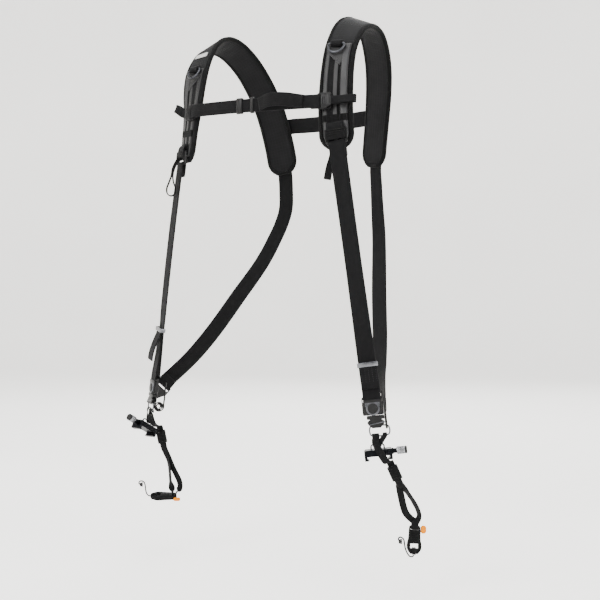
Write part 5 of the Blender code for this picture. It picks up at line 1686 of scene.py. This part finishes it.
# The connectors' moulded trim: sections as (y, half width, low, high, corner), and the yoke's pin
connectorTrim = {
    "guard": (
        (0.0078, 0.0122, -0.003, 0.003, 0.0008), (0.0081, 0.0126, -0.0034, 0.0034, 0.0008),
        (0.0102, 0.0126, -0.0034, 0.0034, 0.0008), (0.0105, 0.0122, -0.003, 0.003, 0.0008),
    ),
    "lip": (
        (0.0077, 0.0118, 0.0038, 0.0045, 0.0001), (0.0084, 0.0126, 0.0041, 0.0049, 0.0001),
        (0.0118, 0.0126, 0.00425, 0.0049, 0.0001), (0.0123, 0.0124, 0.0043, 0.0046, 0.0001),
    ),
    "collar": (
        (-0.0094, 0.011, -0.0034, 0.0034, 0.0012), (-0.01, 0.012, -0.0041, 0.0041, 0.0012),
        (-0.0138, 0.0122, -0.0041, 0.0041, 0.0012), (-0.015, 0.0112, -0.0035, 0.0035, 0.0012),
    ),
    "pin": ((-0.0106, -0.0222), (-0.0103, -0.0222), (0.0107, -0.0192), (0.011, -0.0192)),
    "pinR": 0.0007,
    "dome": (
        (1.0, 0.0), (1.0, 0.48), (0.985, 0.58), (0.94, 0.68), (0.84, 0.8), (0.66, 0.91), (0.42, 0.98),
        (0.12, 1.0),
    ),
}


# The quick connectors: a buckle body with a ring plate, two ears and a domed button
def ringPlate(prefix, place):
    # a plate with two ears and a raised rim round the push button
    face = hips["shellT"] / 2 + cloth["gap"]
    top = hips["bodyTop"] - hips["bodyBar"] - hips["bodySlot"] - 0.0004
    hole = hips["buttonR"] + cloth["gap"]
    count = 72
    rings = [[], [], [], [], [], [], []]
    for k in range(count):
        a = 2 * math.pi * k / count
        reach = hips["plateR"]
        if math.sin(a) > 0.3:
            reach = min(top / math.sin(a), hips["plateEar"] / max(abs(math.cos(a)), 1e-6))
        rim = min(reach, hips["plateR"]) * 0.94
        levels = [(reach, 0.0), (reach, 0.5), (reach * 0.97, 0.7), (rim, 0.7), (rim * 0.98, 1.0)]
        levels += [(hole * 1.04, 1.0), (hole, 0.8)]
        for ring, (r, z) in zip(rings, levels):
            ring.append(at(place, r * math.cos(a), r * math.sin(a), face + z * hips["plateT"]))
    rings.append([at(place, *((place.inverted() @ p).xy), face) for p in rings[-1]])
    replaced = [prefix + "connector_plate"]
    skinPiece(prefix + "connector_ring_plate", rings, "ringMetal", replaced, closed=True, sharp=35)
    bm = bmesh.new()
    profile = [(r * hips["buttonR"] * 0.985, face + z * hips["buttonH"]) for r, z in connectorTrim["dome"]]
    lathe(bm, profile, 48, place @ Matrix.Rotation(math.radians(-90), 4, "Y"))
    finishPiece(prefix + "button_dome", bm, "plastic", [prefix + "push_button"], 50)


def connectorTop(prefix, side):
    place = hip(side)
    ringPlate(prefix, place)
    # a moulded guard closes the strap slot below the webbing
    bm = bmesh.new()
    skin(bm, slabRings(place, connectorTrim["guard"]))
    skin(bm, slabRings(place, connectorTrim["lip"]))
    finishPiece(prefix + "connector_guard", bm, "plastic", sharp=40)
    # a moulded collar round the yoke's neck, and a plated pin across its face
    yokePlace = shifted(place, side * hips["ringShift"] * 0.4)
    collar = slabRings(yokePlace, connectorTrim["collar"])
    skinPiece(prefix + "connector_collar", collar, "plastic", sharp=40)
    bm = bmesh.new()
    pin = [at(yokePlace, x, y, hips["yokeT"] / 2 + 0.0003) for x, y in connectorTrim["pin"]]
    tube(bm, pin, connectorTrim["pinR"], 10, closed=False, upward=axis(place, 2))
    finishPiece(prefix + "yoke_pin", bm, "ringMetal")
    ringPlace = shifted(place, side * hips["ringShift"])
    wire(prefix + "connector_ring", ringPlace, ringPoints(), hips["wireR"], "ringMetal", 14)
    for name in ("connector_body", "connector_yoke", "back_link"):
        dress(prefix + name, "plastic")


def frontStrap(prefix, side):
    rows, start, end, _ = frontRows(side)
    base = hip(side)
    place = strapSliderPlace(side)
    across = axis(base, 0)
    run = axis(place, 1)
    straight = strapFit["sliderBar"]
    # the main layer passes the slider straight
    first = next(k for k, row in enumerate(rows) if (row[0] - start).length < 1e-9)
    last = next(k for k, row in enumerate(rows) if (row[0] - end).length < 1e-9)
    between = []
    for p, a in rows[first + 1 : last]:
        if abs((p - place.to_translation()).dot(run)) > straight * 1.6:
            between.append((p, a))
    between += rowsOn(place, [(straight, 0), (-straight, 0)], across)
    between.sort(key=lambda row: -(row[0] - end).dot((start - end).normalized()))
    main = rows[: first + 1] + between + rows[last:]
    # the return layer climbs from the connector's bar to the slider, in front of the main layer
    lift = cloth["webT"] + cloth["layerGap"]
    depth = hips["bodyT"] / 2 + webStand
    foot = at(place, 0, -straight, 0)
    reach = max((foot - end).length, 1e-6)
    back = rowsOn(base, [(barY + 0.006, depth)])
    for p, a in reversed([row for row in between if (row[0] - foot).dot(run) < -1e-6]):
        extra = lift + (2 * depth - lift) * max(0.0, 1.0 - (p - end).length / reach * 1.6)
        back.append((p + axis(base, 2) * extra, across))
    # it turns over the slider, and the tail comes down in front and stands off by its bow
    path = [(-straight, lift)]
    path += [(straight * 0.1 + y, lift + lift / 2 - z) for y, z in halfTurn(lift / 2, 4)]
    path += [(-straight * 0.6, 2 * lift)]
    for share, off in strapFit["tailRows"]:
        down = straight * 0.6 + strapFit["tailL"][side] * share
        path.append((-down, 2 * lift + depth * share + strapFit["tailBow"][side] * off))
    back += rowsOn(place, path, across)
    strap(prefix + "front_webbing", main + back)
    name = prefix + "strap_slider"
    size = (cloth["webW"] + 4 * cloth["gap"], sliderRoom, strapFit["sliderWall"], straight)
    sleeve(name, shifted(place, 0, 0, lift), *size, "sliderMetal")


def backStrap(prefix, side):
    stand = padFit["thick"] / 2 + webStand
    sewn = padAt(side, padLength - strapFit["sewnL"])
    edge = padAt(side, padLength)
    link = linkPlace(side)
    depth = linkFit["linkT"] / 2 + webStand
    # the band's across direction starts opposite to the pad's, since it is followed downwards
    rows = [(at(sewn, 0, 0, stand), axis(sewn, 0)), (at(edge, 0, 0, stand), axis(edge, 0))]
    start = at(edge, 0, 0, stand)
    end = at(link, 0, linkBarY + 0.004, side * depth)
    for *shares, leftTurn, rightTurn in strapFit["backRun"]:
        p = Vector([a + (b - a) * share for a, b, share in zip(start, end, shares)])
        a = math.radians(leftTurn if side > 0 else rightTurn)
        across = Vector((-math.cos(a), -side * math.sin(a), 0))
        rows.append((p, across))
    turnAcross = -side * axis(link, 0)
    if turnAcross.dot(rows[-1][1]) < 0:
        turnAcross = -turnAcross
    rows.append((end, turnAcross))
    free = smoothRows(rows[1:], 2)
    bend = wrap(lockFit["bar"] / 2, linkFit["linkT"] / 2, webStand)
    path = [(linkBarY - y, side * z) for y, z in bend]
    path += [(linkBarY + y, -side * (depth - off)) for y, off in ((0.006, 0), (0.016, 0.0012))]
    smooth = rows[:1] + free + rowsOn(link, path, turnAcross)
    strap(prefix + "back_webbing", smooth)


def crossStrap():
    stand = padFit["thick"] / 2 + webStand
    rows = []
    for side in (1, -1):
        place = padAt(side, padLength - linkFit["crossUp"])
        ends = [at(place, side * 0.016, 0, stand), at(place, -side * padFit["width"] / 2, 0, stand)]
        middle = [(p, axis(place, 1)) for p in ends]
        if side < 0:
            middle = [(p, a) for p, a in reversed(middle)]
        rows.append(middle)
    left, right = rows
    a = left[-1][0]
    b = right[0][0]
    between = []
    for share in (0.2, 0.4, 0.6, 0.8):
        p = a.lerp(b, share) + Vector((0, linkFit["crossBow"] * 4 * share * (1 - share), 0))
        between.append((p, Vector(left[-1][1]).lerp(Vector(right[0][1]), share)))
    strap("back_cross_strap", left + between + right)


# Narrow tails at the pads' lower ends
tails = {
    "at": {1: (-0.0035, -0.0015, 0.002), -1: (0.005, 0.006, 0.0173)},
    "flat": (
        (0.0, 0.0, 0.0), (-0.002, -0.01, 0.001), (-0.0058, -0.024, 0.003), (-0.0092, -0.042, 0.004),
    ),
    "looped": (
        (0.0, 0.0), (-0.0052, -0.0078), (-0.0094, -0.017), (-0.0118, -0.03), (-0.0155, -0.04),
        (-0.0187, -0.05), (-0.017, -0.0575), (-0.0118, -0.06), (-0.006, -0.0565),
        (-0.005, -0.049), (-0.0078, -0.04), (-0.0092, -0.03), (-0.0066, -0.017),
        (-0.002, -0.0078), (0.003, -0.0008),
    ),
}


def padTail(prefix, side):
    tip = padAt(side, 0.0)
    start = at(tip, *tails["at"][side])
    rows = []
    if side > 0:
        for over, down, out in tails["flat"]:
            p = start + axis(tip, 0) * over + Vector((0, 0, down)) + axis(tip, 2) * out
            rows.append((p, axis(tip, 0)))
        strap(prefix + "pad_tail", rows, cloth["tailW"])
        return
    # a teardrop: down one layer, round the open loop and back up beside the first
    look = facing((0, 0, 0), photo["turn"])
    for x, y in tails["looped"]:
        p = start + axis(look, 0) * x + Vector((0, 0, y))
        rows.append((p, axis(look, 2)))
    strap(prefix + "pad_tail", rows, cloth["tailW"])


# The chest clips' domed thumb plates: along the band, half the width, underside and top, from the frame
thumbPlate = (
    (-0.0048, 0.0112, 0.0005, 0.0024),
    (-0.0042, 0.0118, 0.0005, 0.0036),
    (0.0, 0.0118, 0.0005, 0.0047),
    (0.0044, 0.011, 0.0005, 0.0052),
    (0.0048, 0.0108, 0.0038, 0.0052),
    (0.0085, 0.009, 0.0038, 0.0052),
    (0.0108, 0.0074, 0.0038, 0.0049),
    (0.0114, 0.0066, 0.004, 0.0044),
)


def makeThumbPlate(prefix, place, face):
    rings = []
    for y, half, low, top in thumbPlate:
        shares = ((1.0, 0.0), (1.0, 0.62), (0.9, 0.86), (0.5, 0.97))
        right = [(half * x, low + (top - low) * z) for x, z in shares]
        ring = [(-half, low)] + right + [(0.0, top)] + [(-x, z) for x, z in reversed(right[1:])]
        rings.append([at(place, x, y, face * z) for x, z in ring])
    skinPiece(prefix + "sternum_thumb_plate", rings, "clipPlastic", sharp=40)
    grips = []
    for y in (-0.0012, 0.0016, 0.0044):
        for k in range(5):
            grips.append(shifted(place, (k - 2) * 0.0024, y, face * 0.005))
    repeat(prefix + "sternum_thumb_grips", grips, gripShape, "clipPlastic")


def sternumLock(prefix, side):
    # in the lock's own place x runs along the pad and y runs outwards from the chest
    place = sternumPlace(side)
    high = chest["lockW"] / 2
    bars = ((high - lockFit["bar"], high), (-high, -high + lockFit["bar"]))
    rail = (chest["lockH"] - cloth["sternumW"]) / 2 - 2 * cloth["gap"]
    size = (chest["lockH"], chest["lockW"])
    slotted(prefix + "sternum_lock", place, *size, bars, rail, chest["lockCorner"])
    # a closed loop round the outer bar and on past the pad's outer edge
    face = 1 if axis(place, 2).dot(axis(padAt(side, chest["up"][side]), 2)) > 0 else -1
    makeThumbPlate(prefix, place, face)
    bar = (chest["lockW"] - lockFit["bar"]) / 2
    far = padFit["width"] / 2 + chest["lockIn"] + chest["loopReach"][side] - 0.002
    path = [(bar - y, -z) for y, z in lockWrap]
    path += [(bar + 0.01, lockStand), (bar + 0.018, lockStand * 0.7)]
    path += [(far + y, z - (lockStand - 0.0026)) for y, z in halfTurn(0.0026, 4)]
    path += [(bar + 0.018, -lockStand), (bar + 0.01, -lockStand)]
    rows = []
    for y, z in path:
        share = max(0.0, (y - bar - 0.01) / (far - bar))
        standOff = chest["loopOut"][side] * share + chest["loopLift"] * min(1.0, share * 8)
        # the loose loop leans a little and back, its lower edge standing off the pad
        lean = math.radians(chest["loopLean"]) * math.sin(min(share * 1.15, 1.0) * math.pi)
        down = -1 if axis(place, 0).z > 0 else 1
        across = axis(place, 0) * math.cos(lean) + axis(place, 2) * face * down * math.sin(lean)
        standOff += math.sin(lean) * (cloth["loopW"] / 2 + z)
        rows.append((at(place, -chest["loopRise"][side] * share, y, face * (z + standOff)), across))
    strap(prefix + "sternum_loop", rows, cloth["loopW"], closed=True)


def chestBand():
    ends = sternumLine()
    rightTurn, rightOver = ends[-1]
    leftTurn, leftOver = ends[1]
    rings = ((chest["keeperX"], chest["keeperL"]), (chest["sliderX"], chest["sliderL"]))
    stations = {-0.088, -0.066, -0.044, -0.012, 0.01, 0.034, 0.056, 0.078}
    stations |= {x + side * length for x, length in rings for side in (-1, 1)}
    for x, length in rings:
        stations = {s for s in stations if not x - length < s < x + length}
    rows = rightTurn + [rightOver]
    rows += [(chestPoint(x), axis(chestPlace(x), 1)) for x in sorted(stations)]
    rows += [leftOver] + leftTurn[::-1]
    rows = [(p, a if Vector(a).z > 0 else -Vector(a)) for p, a in rows]
    strap("sternum_webbing", rows, cloth["sternumW"])
    room = 4 * cloth["gap"]
    for name, (x, length) in zip(("sternum_keeper", "sternum_slider"), rings):
        place = chestPlace(x)
        turned = placeOf(place.to_translation(), axis(place, 1), -axis(place, 0))
        size = (cloth["sternumW"] + room, cloth["webT"] + room, chest["sleeveWall"], length)
        sleeve(name, turned, *size, "plastic")


def chestBow():
    rows = []
    for along, out, up in chest["bowRows"]:
        x = chest["bowFrom"] + (chest["bowTo"] - chest["bowFrom"]) * along
        place = chestPlace(x)
        stand = cloth["webT"] + cloth["gap"] * 2 + chest["bowOut"] * out
        p = at(place, 0, chest["bowUp"] * up, stand)
        rows.append((p, axis(place, 1)))
    strap("sternum_bow", smoothRows(rows, 2), cloth["sternumW"])


# Clamp knobs: a knurled thumb screw with a black cap, on the jaw's screw
screwY = clampFit["height"] * 0.5


def clampKnob(prefix, side):
    place = shifted(clampPlace(side), 0, screwY)
    face = clampFit["length"] / 2 + cloth["gap"]
    collar = face + clampFit["collarL"]
    neck = collar + clampFit["neckL"]
    end = neck + clampFit["knobL"]
    capAt = end - clampFit["capL"]
    screwR, collarR, neckR, knobR = (clampFit[key] for key in ("screwR", "collarR", "neckR", "knobR"))
    tip = face - cloth["gap"] - clampFit["screwL"]
    turns = 2 * clampFit["threads"]
    profile = [(screwR * 0.7, tip), (screwR, tip + 0.0006)]
    start, stop = tip + 0.001, face - 0.0004
    for k in range(turns + 1):
        profile.append((screwR - (0.00022 if k % 2 else 0.0), start + (stop - start) * k / turns))
    profile += [(collarR - 0.0002, face), (collarR, face + 0.0003), (collarR, collar - 0.0003)]
    profile += [(collarR - 0.0002, collar), (neckR, collar), (neckR, neck + 0.0002)]
    bm = bmesh.new()
    lathe(bm, profile, 40, place)
    barrel = [(0.5, neck), (0.84, neck), (0.9, neck + 0.0005), (0.9, capAt)]
    lathe(bm, [(knobR * share, x) for share, x in barrel], 40, place, material=1)
    knob = prefix + "knob"
    finishPiece(knob + "_metal", bm, "anodised", [prefix + "clamp_knob"], 40, knob, ("steel",))
    bm = bmesh.new()
    cap = [(0.9, capAt), (1.0, capAt + 0.0002), (1.0, end - 0.0008), (0.93, end - 0.0002)]
    cap += [(0.7, end), (0.1, end)]
    lathe(bm, [(knobR * share, x) for share, x in cap], 40, place)
    finishPiece(knob + "_cap", bm, "softPlastic", sharp=40, body=knob)
    count = clampFit["ridges"]
    ridges = []
    for k in range(count):
        turned = Matrix.Rotation(2 * math.pi * k / count, 4, "X")
        ridges.append(shifted(place @ turned, (neck + capAt) / 2, 0, knobR * 0.9))
    length = capAt - neck - 0.0012

    def ridge(bm):
        rings = []
        for x, size in ((-0.5, 0.4), (-0.46, 1.0), (0.46, 1.0), (0.5, 0.4)):
            section = ((-0.0004, -0.0001), (0.0, 0.00052), (0.0004, -0.0001))
            rings.append([Vector((x * length, y * size, z * size)) for y, z in section])
        skin(bm, rings)

    repeat(knob + "_knurl", ridges, ridge, "steel", knob)
    dress(prefix + "clamp_body", "anodised", 0.0005)
    dress(prefix + "clamp_jaw", "anodised", 0.0005)


def hanger(prefix, side):
    # a flat closed loop of webbing from the ring's lower run to the clamp's bail, turning on the way
    base = hip(side)
    run = at(base, side * (hips["ringShift"] + hips["hangerAt"]), ringLow, 0)
    clampAt = clampPlace(side)
    highX = axis(base, 0)
    lowX = axis(clampAt, 0)
    if lowX.dot(highX) < 0:
        lowX = -lowX
    bail = at(clampAt, 0, clampFit["height"] + clampFit["bailH"], 0) + lowX * side * clampFit["hangerLow"]
    up = (run - bail).normalized()
    top = placeOf(run, highX, up - highX * up.dot(highX))
    low = placeOf(bail, lowX, up - lowX * up.dot(lowX))
    radius = hips["wireR"] + clampFit["hangerRoom"] + clampFit["hangerT"] / 2
    down, back = [], []
    for share in (0.7, 0.5, 0.3):
        turnedX = blendAcross(lowX, highX, share)
        between = placeOf(bail.lerp(run, share), turnedX, up - turnedX * up.dot(turnedX))
        down.append((at(between, 0, 0, -radius), turnedX))
        back.append((at(between, 0, 0, radius), turnedX))
    turn = halfTurn(radius, 6)
    rows = rowsOn(top, turn, highX) + down + rowsOn(low, [(-y, -z) for y, z in turn], lowX) + back[::-1]
    strap(prefix + "hanger", rows, clampFit["hangerW"], clampFit["hangerT"], closed=True)


def tether(prefix, side):
    base = hip(side)
    slider = tetherSliderPlace(side)
    block = blockPlace(side)
    own = axis(slider, 0)
    lift = cloth["tetherT"] + cloth["layerGap"]
    # upper end: round the ring's lower run beside the hanger
    ringAt = shifted(base, side * (hips["ringShift"] + hips["tetherAt"]), ringLow)
    radius = hips["wireR"] + cloth["gap"] * 2 + cloth["tetherT"] / 2
    rows = rowsOn(ringAt, [(-hips["tetherEndL"], -radius)] + [(y, -z) for y, z in halfTurn(radius, 6)])
    free = rowsOn(ringAt, [(-0.004, radius)])
    overTurn = blendAcross(axis(base, 0), own, 0.6)
    free += [(Vector(p), overTurn) for p in tetherFit["over"][side]]
    top = tetherFit["sliderL"] / 2 + 0.003
    free += rowsOn(slider, [(top + 0.003, -lift / 2)])
    rows += smoothRows(free, 2) + rowsOn(slider, [(top - 0.002, -lift / 2), (-top + 0.001, -lift / 2)])
    downTurn = blendAcross(own, axis(slider, 2), tetherFit["downTurn"][side])
    blockHalf = tetherFit["blockT"] / 2
    barHalf = tetherFit["linkBar"] / 2
    hug = cloth["gap"] + cloth["tetherT"] / 2
    stand = blockHalf + hug
    bar = -tetherFit["blockL"] / 2 + barHalf
    blockAcross = axis(block, 0)
    if blockAcross.dot(own) < 0:
        blockAcross = -blockAcross
    down = rowsOn(slider, [(-top - 0.003, -lift / 2)])
    down += [(Vector(p), downTurn) for p in tetherFit["down"][side]]
    lead = tetherFit["linkLead"][side]
    if side > 0:
        # round the bar from the face behind to the face in front
        turn = [(y, -z) for y, z in wrap(barHalf, blockHalf, hug)]
        arrive, leave = (-lead, -stand), (-lead, stand)
    else:
        # down through the slot, under the bar and up past the block's end
        turn = [(z, -y) for y, z in wrap(blockHalf, barHalf, hug)]
        arrive, leave = (turn[0][0], stand + lead), (turn[-1][0] - 3 * cloth["gap"], stand + lead)
    down += rowsOn(block, [(bar + arrive[0], arrive[1])], blockAcross)
    rows += smoothRows(down, 2) + rowsOn(block, [(bar + y, z) for y, z in turn], blockAcross)
    up = rowsOn(block, [(bar + leave[0], leave[1])], blockAcross)
    upTurn = blendAcross(own, axis(slider, 2), tetherFit["upTurn"][side])
    up += [(Vector(p), upTurn) for p in tetherFit["up"][side]]
    up += rowsOn(slider, [(-top - 0.003, lift / 2)])
    rows += smoothRows(up, 2) + rowsOn(slider, [(-top + 0.001, lift / 2), (top * 0.75, lift / 2)])
    strap(prefix + "tether_strap", rows, cloth["tetherW"], cloth["tetherT"])
    size = (cloth["tetherW"] + 4 * cloth["gap"], tetherRoom, tetherFit["sliderWall"])
    sleeve(prefix + "tether_slider", slider, *size, tetherFit["sliderL"], "mattePlastic")
    linkBlock(prefix, block)


# The tether's link block: half its width along it, as shares of its half length
linkShape = {
    "outline": (
        (-1.0, 0.0062), (-0.93, 0.0074), (-0.62, 0.008), (-0.34, 0.008), (0.0, 0.0084),
        (0.22, 0.0095), (0.45, 0.01), (0.66, 0.0096), (0.84, 0.0078), (0.96, 0.0058), (1.0, 0.0046),
    ),
    "thicker": 0.35,
}


def linkBlock(prefix, place):
    # a moulded block with a strap slot at one end and an eye for the cord at the other
    half = tetherFit["blockL"] / 2
    bar = tetherFit["linkBar"]
    inner = cloth["tetherW"] / 2 + 2 * cloth["gap"]
    bars = ((-half, -half + bar), (-half + bar + 0.0028, half * 0.25), (half * 0.25 + 0.0075, half))
    ys = sorted({y * half for y, w in linkShape["outline"]} | {y for span in bars for y in span})
    xs = (-0.008, -inner, -inner * 0.4, inner * 0.4, inner, 0.008)

    def solid(i, j):
        if i in (0, 4):
            return True
        y = (ys[j] + ys[j + 1]) / 2
        return any(low < y < high for low, high in bars)

    bm = bmesh.new()
    gridPlate(bm, xs, ys, solid, -tetherFit["blockT"] / 2, tetherFit["blockT"] / 2)
    for v in bm.verts:
        y = v.co.y / half
        if abs(v.co.x) > inner + 0.0005:
            v.co.x = math.copysign(outlineAt(y), v.co.x)
        # fuller in the middle, and thinner towards its sides
        full = max(0.0, 1.0 - (y / 0.8) ** 2) * linkShape["thicker"]
        v.co.z *= 1.0 + full if abs(v.co.x) < inner + 0.0005 else 0.8 + full * 0.6
    bmesh.ops.recalc_face_normals(bm, faces=bm.faces)
    soften(bm, 0.0005, least=40)
    bmesh.ops.transform(bm, matrix=place, verts=bm.verts)
    finishPiece(prefix + "link_block", bm, "mattePlastic", [prefix + "tether_link"], 40)


def outlineAt(y):
    rows = linkShape["outline"]
    for (a, low), (b, high) in zip(rows, rows[1:]):
        if y <= b:
            return low + (high - low) * (y - a) / (b - a)
    return rows[-1][1]


def tetherGrips(prefix, side):
    # moulded flutes on the slider's and the link block's faces
    spots = []
    for face in (1, -1):
        slider = tetherSliderPlace(side)
        stand = tetherRoom / 2 + tetherFit["sliderWall"]
        for k in range(6):
            spots.append(shifted(slider, 0, (k - 2.5) * 0.0029, face * stand))
        block = blockPlace(side)
        for k in range(5):
            y = -0.0087 + k * 0.0027
            full = 1.0 + (1.0 - (y / 0.0152) ** 2) * linkShape["thicker"]
            spots.append(shifted(block, 0, y, face * tetherFit["blockT"] / 2 * full))
    repeat(prefix + "tether_flutes", spots, fluteShape, "mattePlastic")


# Lug cords: limp braided cord, 2 mm thick, from the link block to a knot in its own loop
cordFit = {
    "radius": 0.001,
    "hitchIn": 0.0034,
    "hitchRoom": 0.0018,
    "knotTurns": 3,
    "route": {
        1: ((0.0, -0.001), (-0.002, -0.003), (-0.006, -0.0022), (-0.0095, 0.003), (-0.0118, 0.009),
            (-0.0128, 0.015), (-0.0135, 0.0195), (-0.0155, 0.0225), (-0.019, 0.024), (-0.0215, 0.0215),
            (-0.0195, 0.0188), (-0.0168, 0.0178)),
        -1: ((0.0006, -0.0002), (-0.004, 0.001), (-0.007, 0.0045), (-0.0085, 0.0105), (-0.0092, 0.017),
             (-0.0105, 0.0215), (-0.014, 0.024), (-0.018, 0.0235), (-0.019, 0.0205), (-0.016, 0.0188),
             (-0.013, 0.019)),
    },
}


def cordTies(prefix, block, look, crossing):
    radius = cordFit["radius"]
    # the cord is hitched round the block's end bar in two turns
    reach = tetherFit["linkBar"] / 2 + radius + cordFit["hitchRoom"]
    deep = tetherFit["blockT"] / 2 + radius
    middle = tetherFit["blockL"] / 2 - cordFit["hitchIn"]
    bm = bmesh.new()
    for x in (-0.0013, 0.0013):
        loop = [at(block, x, middle + y, z) for y, z in rounded(reach, -deep, deep, 0.0022, 4)]
        tube(bm, loop, radius, 8)
    hitch = finishPiece(prefix + "cord_hitch", bm, "cord")
    # the knot: turns of the same cord round the crossing
    steps = cordFit["knotTurns"] * 12
    points = []
    for k in range(steps + 1):
        a = 2 * math.pi * k / 12
        along = (k / steps - 0.5) * 2.6 * radius * 2
        spin = axis(look, 0) * math.cos(a) * radius * 1.9 + axis(look, 2) * math.sin(a) * radius * 1.9
        points.append(crossing + axis(look, 1) * along + spin)
    bm = bmesh.new()
    tube(bm, points, radius * 0.8, 8, closed=False, upward=axis(look, 1))
    return [finishPiece(prefix + "cord_knot", bm, "cord"), hitch]


def lugCord(prefix, side):
    block = blockPlace(side)
    look = facing((0, 0, 0), photo["turn"])
    radius = cordFit["radius"]
    end = at(block, 0, tetherFit["blockL"] / 2 + radius + cloth["gap"], 0)
    route = [end + axis(look, 0) * x + axis(look, 1) * y for x, y in cordFit["route"][side]]
    lift = [0.0] * (len(route) - 4) + [0.0008, 0.0016, 0.0022, 0.0028]
    route = [p + axis(look, 2) * up for p, up in zip(route, lift)]
    fine = [Vector(p) for p in catmull(route, 3)]
    curve = bpy.data.curves.new(prefix + "braided_cord", "CURVE")
    curve.dimensions = "3D"
    curve.bevel_depth = radius
    curve.bevel_resolution = 4
    curve.use_fill_caps = True
    spline = curve.splines.new("POLY")
    spline.points.add(len(fine) - 1)
    for k, p in enumerate(fine):
        spline.points[k].co = (*p, 1.0)
    made = bpy.data.objects.new(prefix + "braided_cord", curve)
    bpy.context.scene.collection.objects.link(made)
    curve.materials.append(looks["cord"])
    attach(made, "harness")
    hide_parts(prefix + "lug_cord")
    cordTies(prefix, block, look, fine[-3])


# The rolled spare webbing at the right hip
bundle = {
    "at": (0.0157, -0.027, -0.0064),
    "radius": 0.008,
    "core": 0.0026,
    "turns": 2.25,
    "steps": 20,
    "tail": ((0.0115, 0.037), (0.0096, 0.023), (0.0088, 0.011)),
}


def webbingBundle():
    # spare webbing on the right, rolled up in front of the ring with its cut end standing out
    base = hip(-1)
    look = facing(at(base, *bundle["at"]), photo["turn"])
    rows = [(at(look, x, y, 0), axis(look, 2)) for x, y in bundle["tail"]]
    for k in range(bundle["steps"] + 1):
        share = k / bundle["steps"]
        a = math.radians(20) - 2 * math.pi * bundle["turns"] * share
        r = bundle["radius"] - (bundle["radius"] - bundle["core"]) * share
        rows.append((at(look, r * math.cos(a), r * math.sin(a), 0), axis(look, 2)))
    strap("right_webbing_bundle", rows, cloth["loopW"])


for prefix, side in sides.items():
    lugCord(prefix, side)
for prefix, side in sides.items():
    ringAndTab(prefix, side)
    ladderLock(prefix, side)
    padTail(prefix, side)
    sternumLock(prefix, side)
    connectorTop(prefix, side)
    frontStrap(prefix, side)
    backStrap(prefix, side)
    clampKnob(prefix, side)
    hanger(prefix, side)
    tether(prefix, side)
    tetherGrips(prefix, side)
    dress(prefix + "pull_tab", "tab")
chestBand()
chestBow()
crossStrap()
webbingBundle()
print("stage: straps and fittings")

# Sewn joints on the straps
for prefix, side in sides.items():
    stitchStrap(prefix + "d_ring_tab", 0.0, 0.25)
    stitchStrap(prefix + "d_ring_tab", 0.75, 1.0)
    for face in (1, -1):
        stitchStrap(prefix + "back_webbing", 0.004, 0.05, face)
        stitchStrap(prefix + "front_webbing", 0.93, 0.985, face, (-1, -0.5, 0, 0.5, 1), greyStitches)
    stitchStrap(prefix + "sternum_loop", 0.02, 0.2)
    stitchStrap(prefix + "tether_strap", 0.0, 0.04)
for start, end in ((0.0, 0.14), (0.86, 1.0)):
    stitchStrap("back_cross_strap", start, end)
    stitchStrap("back_cross_strap", start, end, face=-1)
repeat("harness_stitches", stitches, stitchShape, "thread", least=0.9, seed=11)
repeat("harness_bar_tacks", greyStitches, stitchShape, "greyThread", least=0.9, seed=12)
print("stage: stitches", len(stitches), len(greyStitches))

# A pale studio: a round floor that curves up into a wall all round, and soft lights
studio = {"low": -0.8, "flat": 4.6, "wall": 6.2, "high": 5.0, "count": 96}


def makeStudio():
    profile = [(0.3, 0.0), (studio["flat"], 0.0)]
    bend = studio["wall"] - studio["flat"]
    for k in range(1, 9):
        a = math.radians(90 * k / 8)
        profile.append((studio["flat"] + bend * math.sin(a), bend * (1 - math.cos(a))))
    profile.append((studio["wall"], studio["high"]))
    count = studio["count"]
    angles = [2 * math.pi * k / count for k in range(count)]
    bm = bmesh.new()
    rings = []
    for radius, up in profile:
        spots = [(radius * math.cos(a), radius * math.sin(a), studio["low"] + up) for a in angles]
        rings.append([bm.verts.new(spot) for spot in spots])
    for a, b in zip(rings, rings[1:]):
        for k in range(count):
            j = (k + 1) % count
            bm.faces.new((a[k], a[j], b[j], b[k]))
    bm.faces.new(rings[0])
    bmesh.ops.recalc_face_normals(bm, faces=bm.faces)
    bmesh.ops.reverse_faces(bm, faces=bm.faces)
    newObject("studio_floor", bm, "floor")


def makeLight(name, place, size, power):
    light = bpy.data.lights.new(name, "AREA")
    light.shape = "SQUARE"
    light.size = size
    light.energy = power
    made = bpy.data.objects.new(name, light)
    made.location = place
    toHarness = Vector((0.0, 0.0, -0.35)) - Vector(place)
    made.rotation_euler = toHarness.to_track_quat("-Z", "Y").to_euler()
    bpy.context.scene.collection.objects.link(made)


makeStudio()
makeLight("key_light", (-0.6, -2.6, 1.5), 1.6, 95.0)
makeLight("side_light", (2.8, -0.6, 0.6), 1.6, 55.0)
makeLight("back_light", (-1.2, 2.6, 1.4), 1.8, 80.0)
makeLight("top_light", (0.0, 0.0, 2.6), 2.4, 110.0)
world = bpy.data.worlds.new("pale_studio")
world.use_nodes = True
world.node_tree.nodes["Background"].inputs["Color"].default_value = linear("#f0f0ee")
world.node_tree.nodes["Background"].inputs["Strength"].default_value = 1.1
bpy.context.scene.world = world
print("stage: studio")
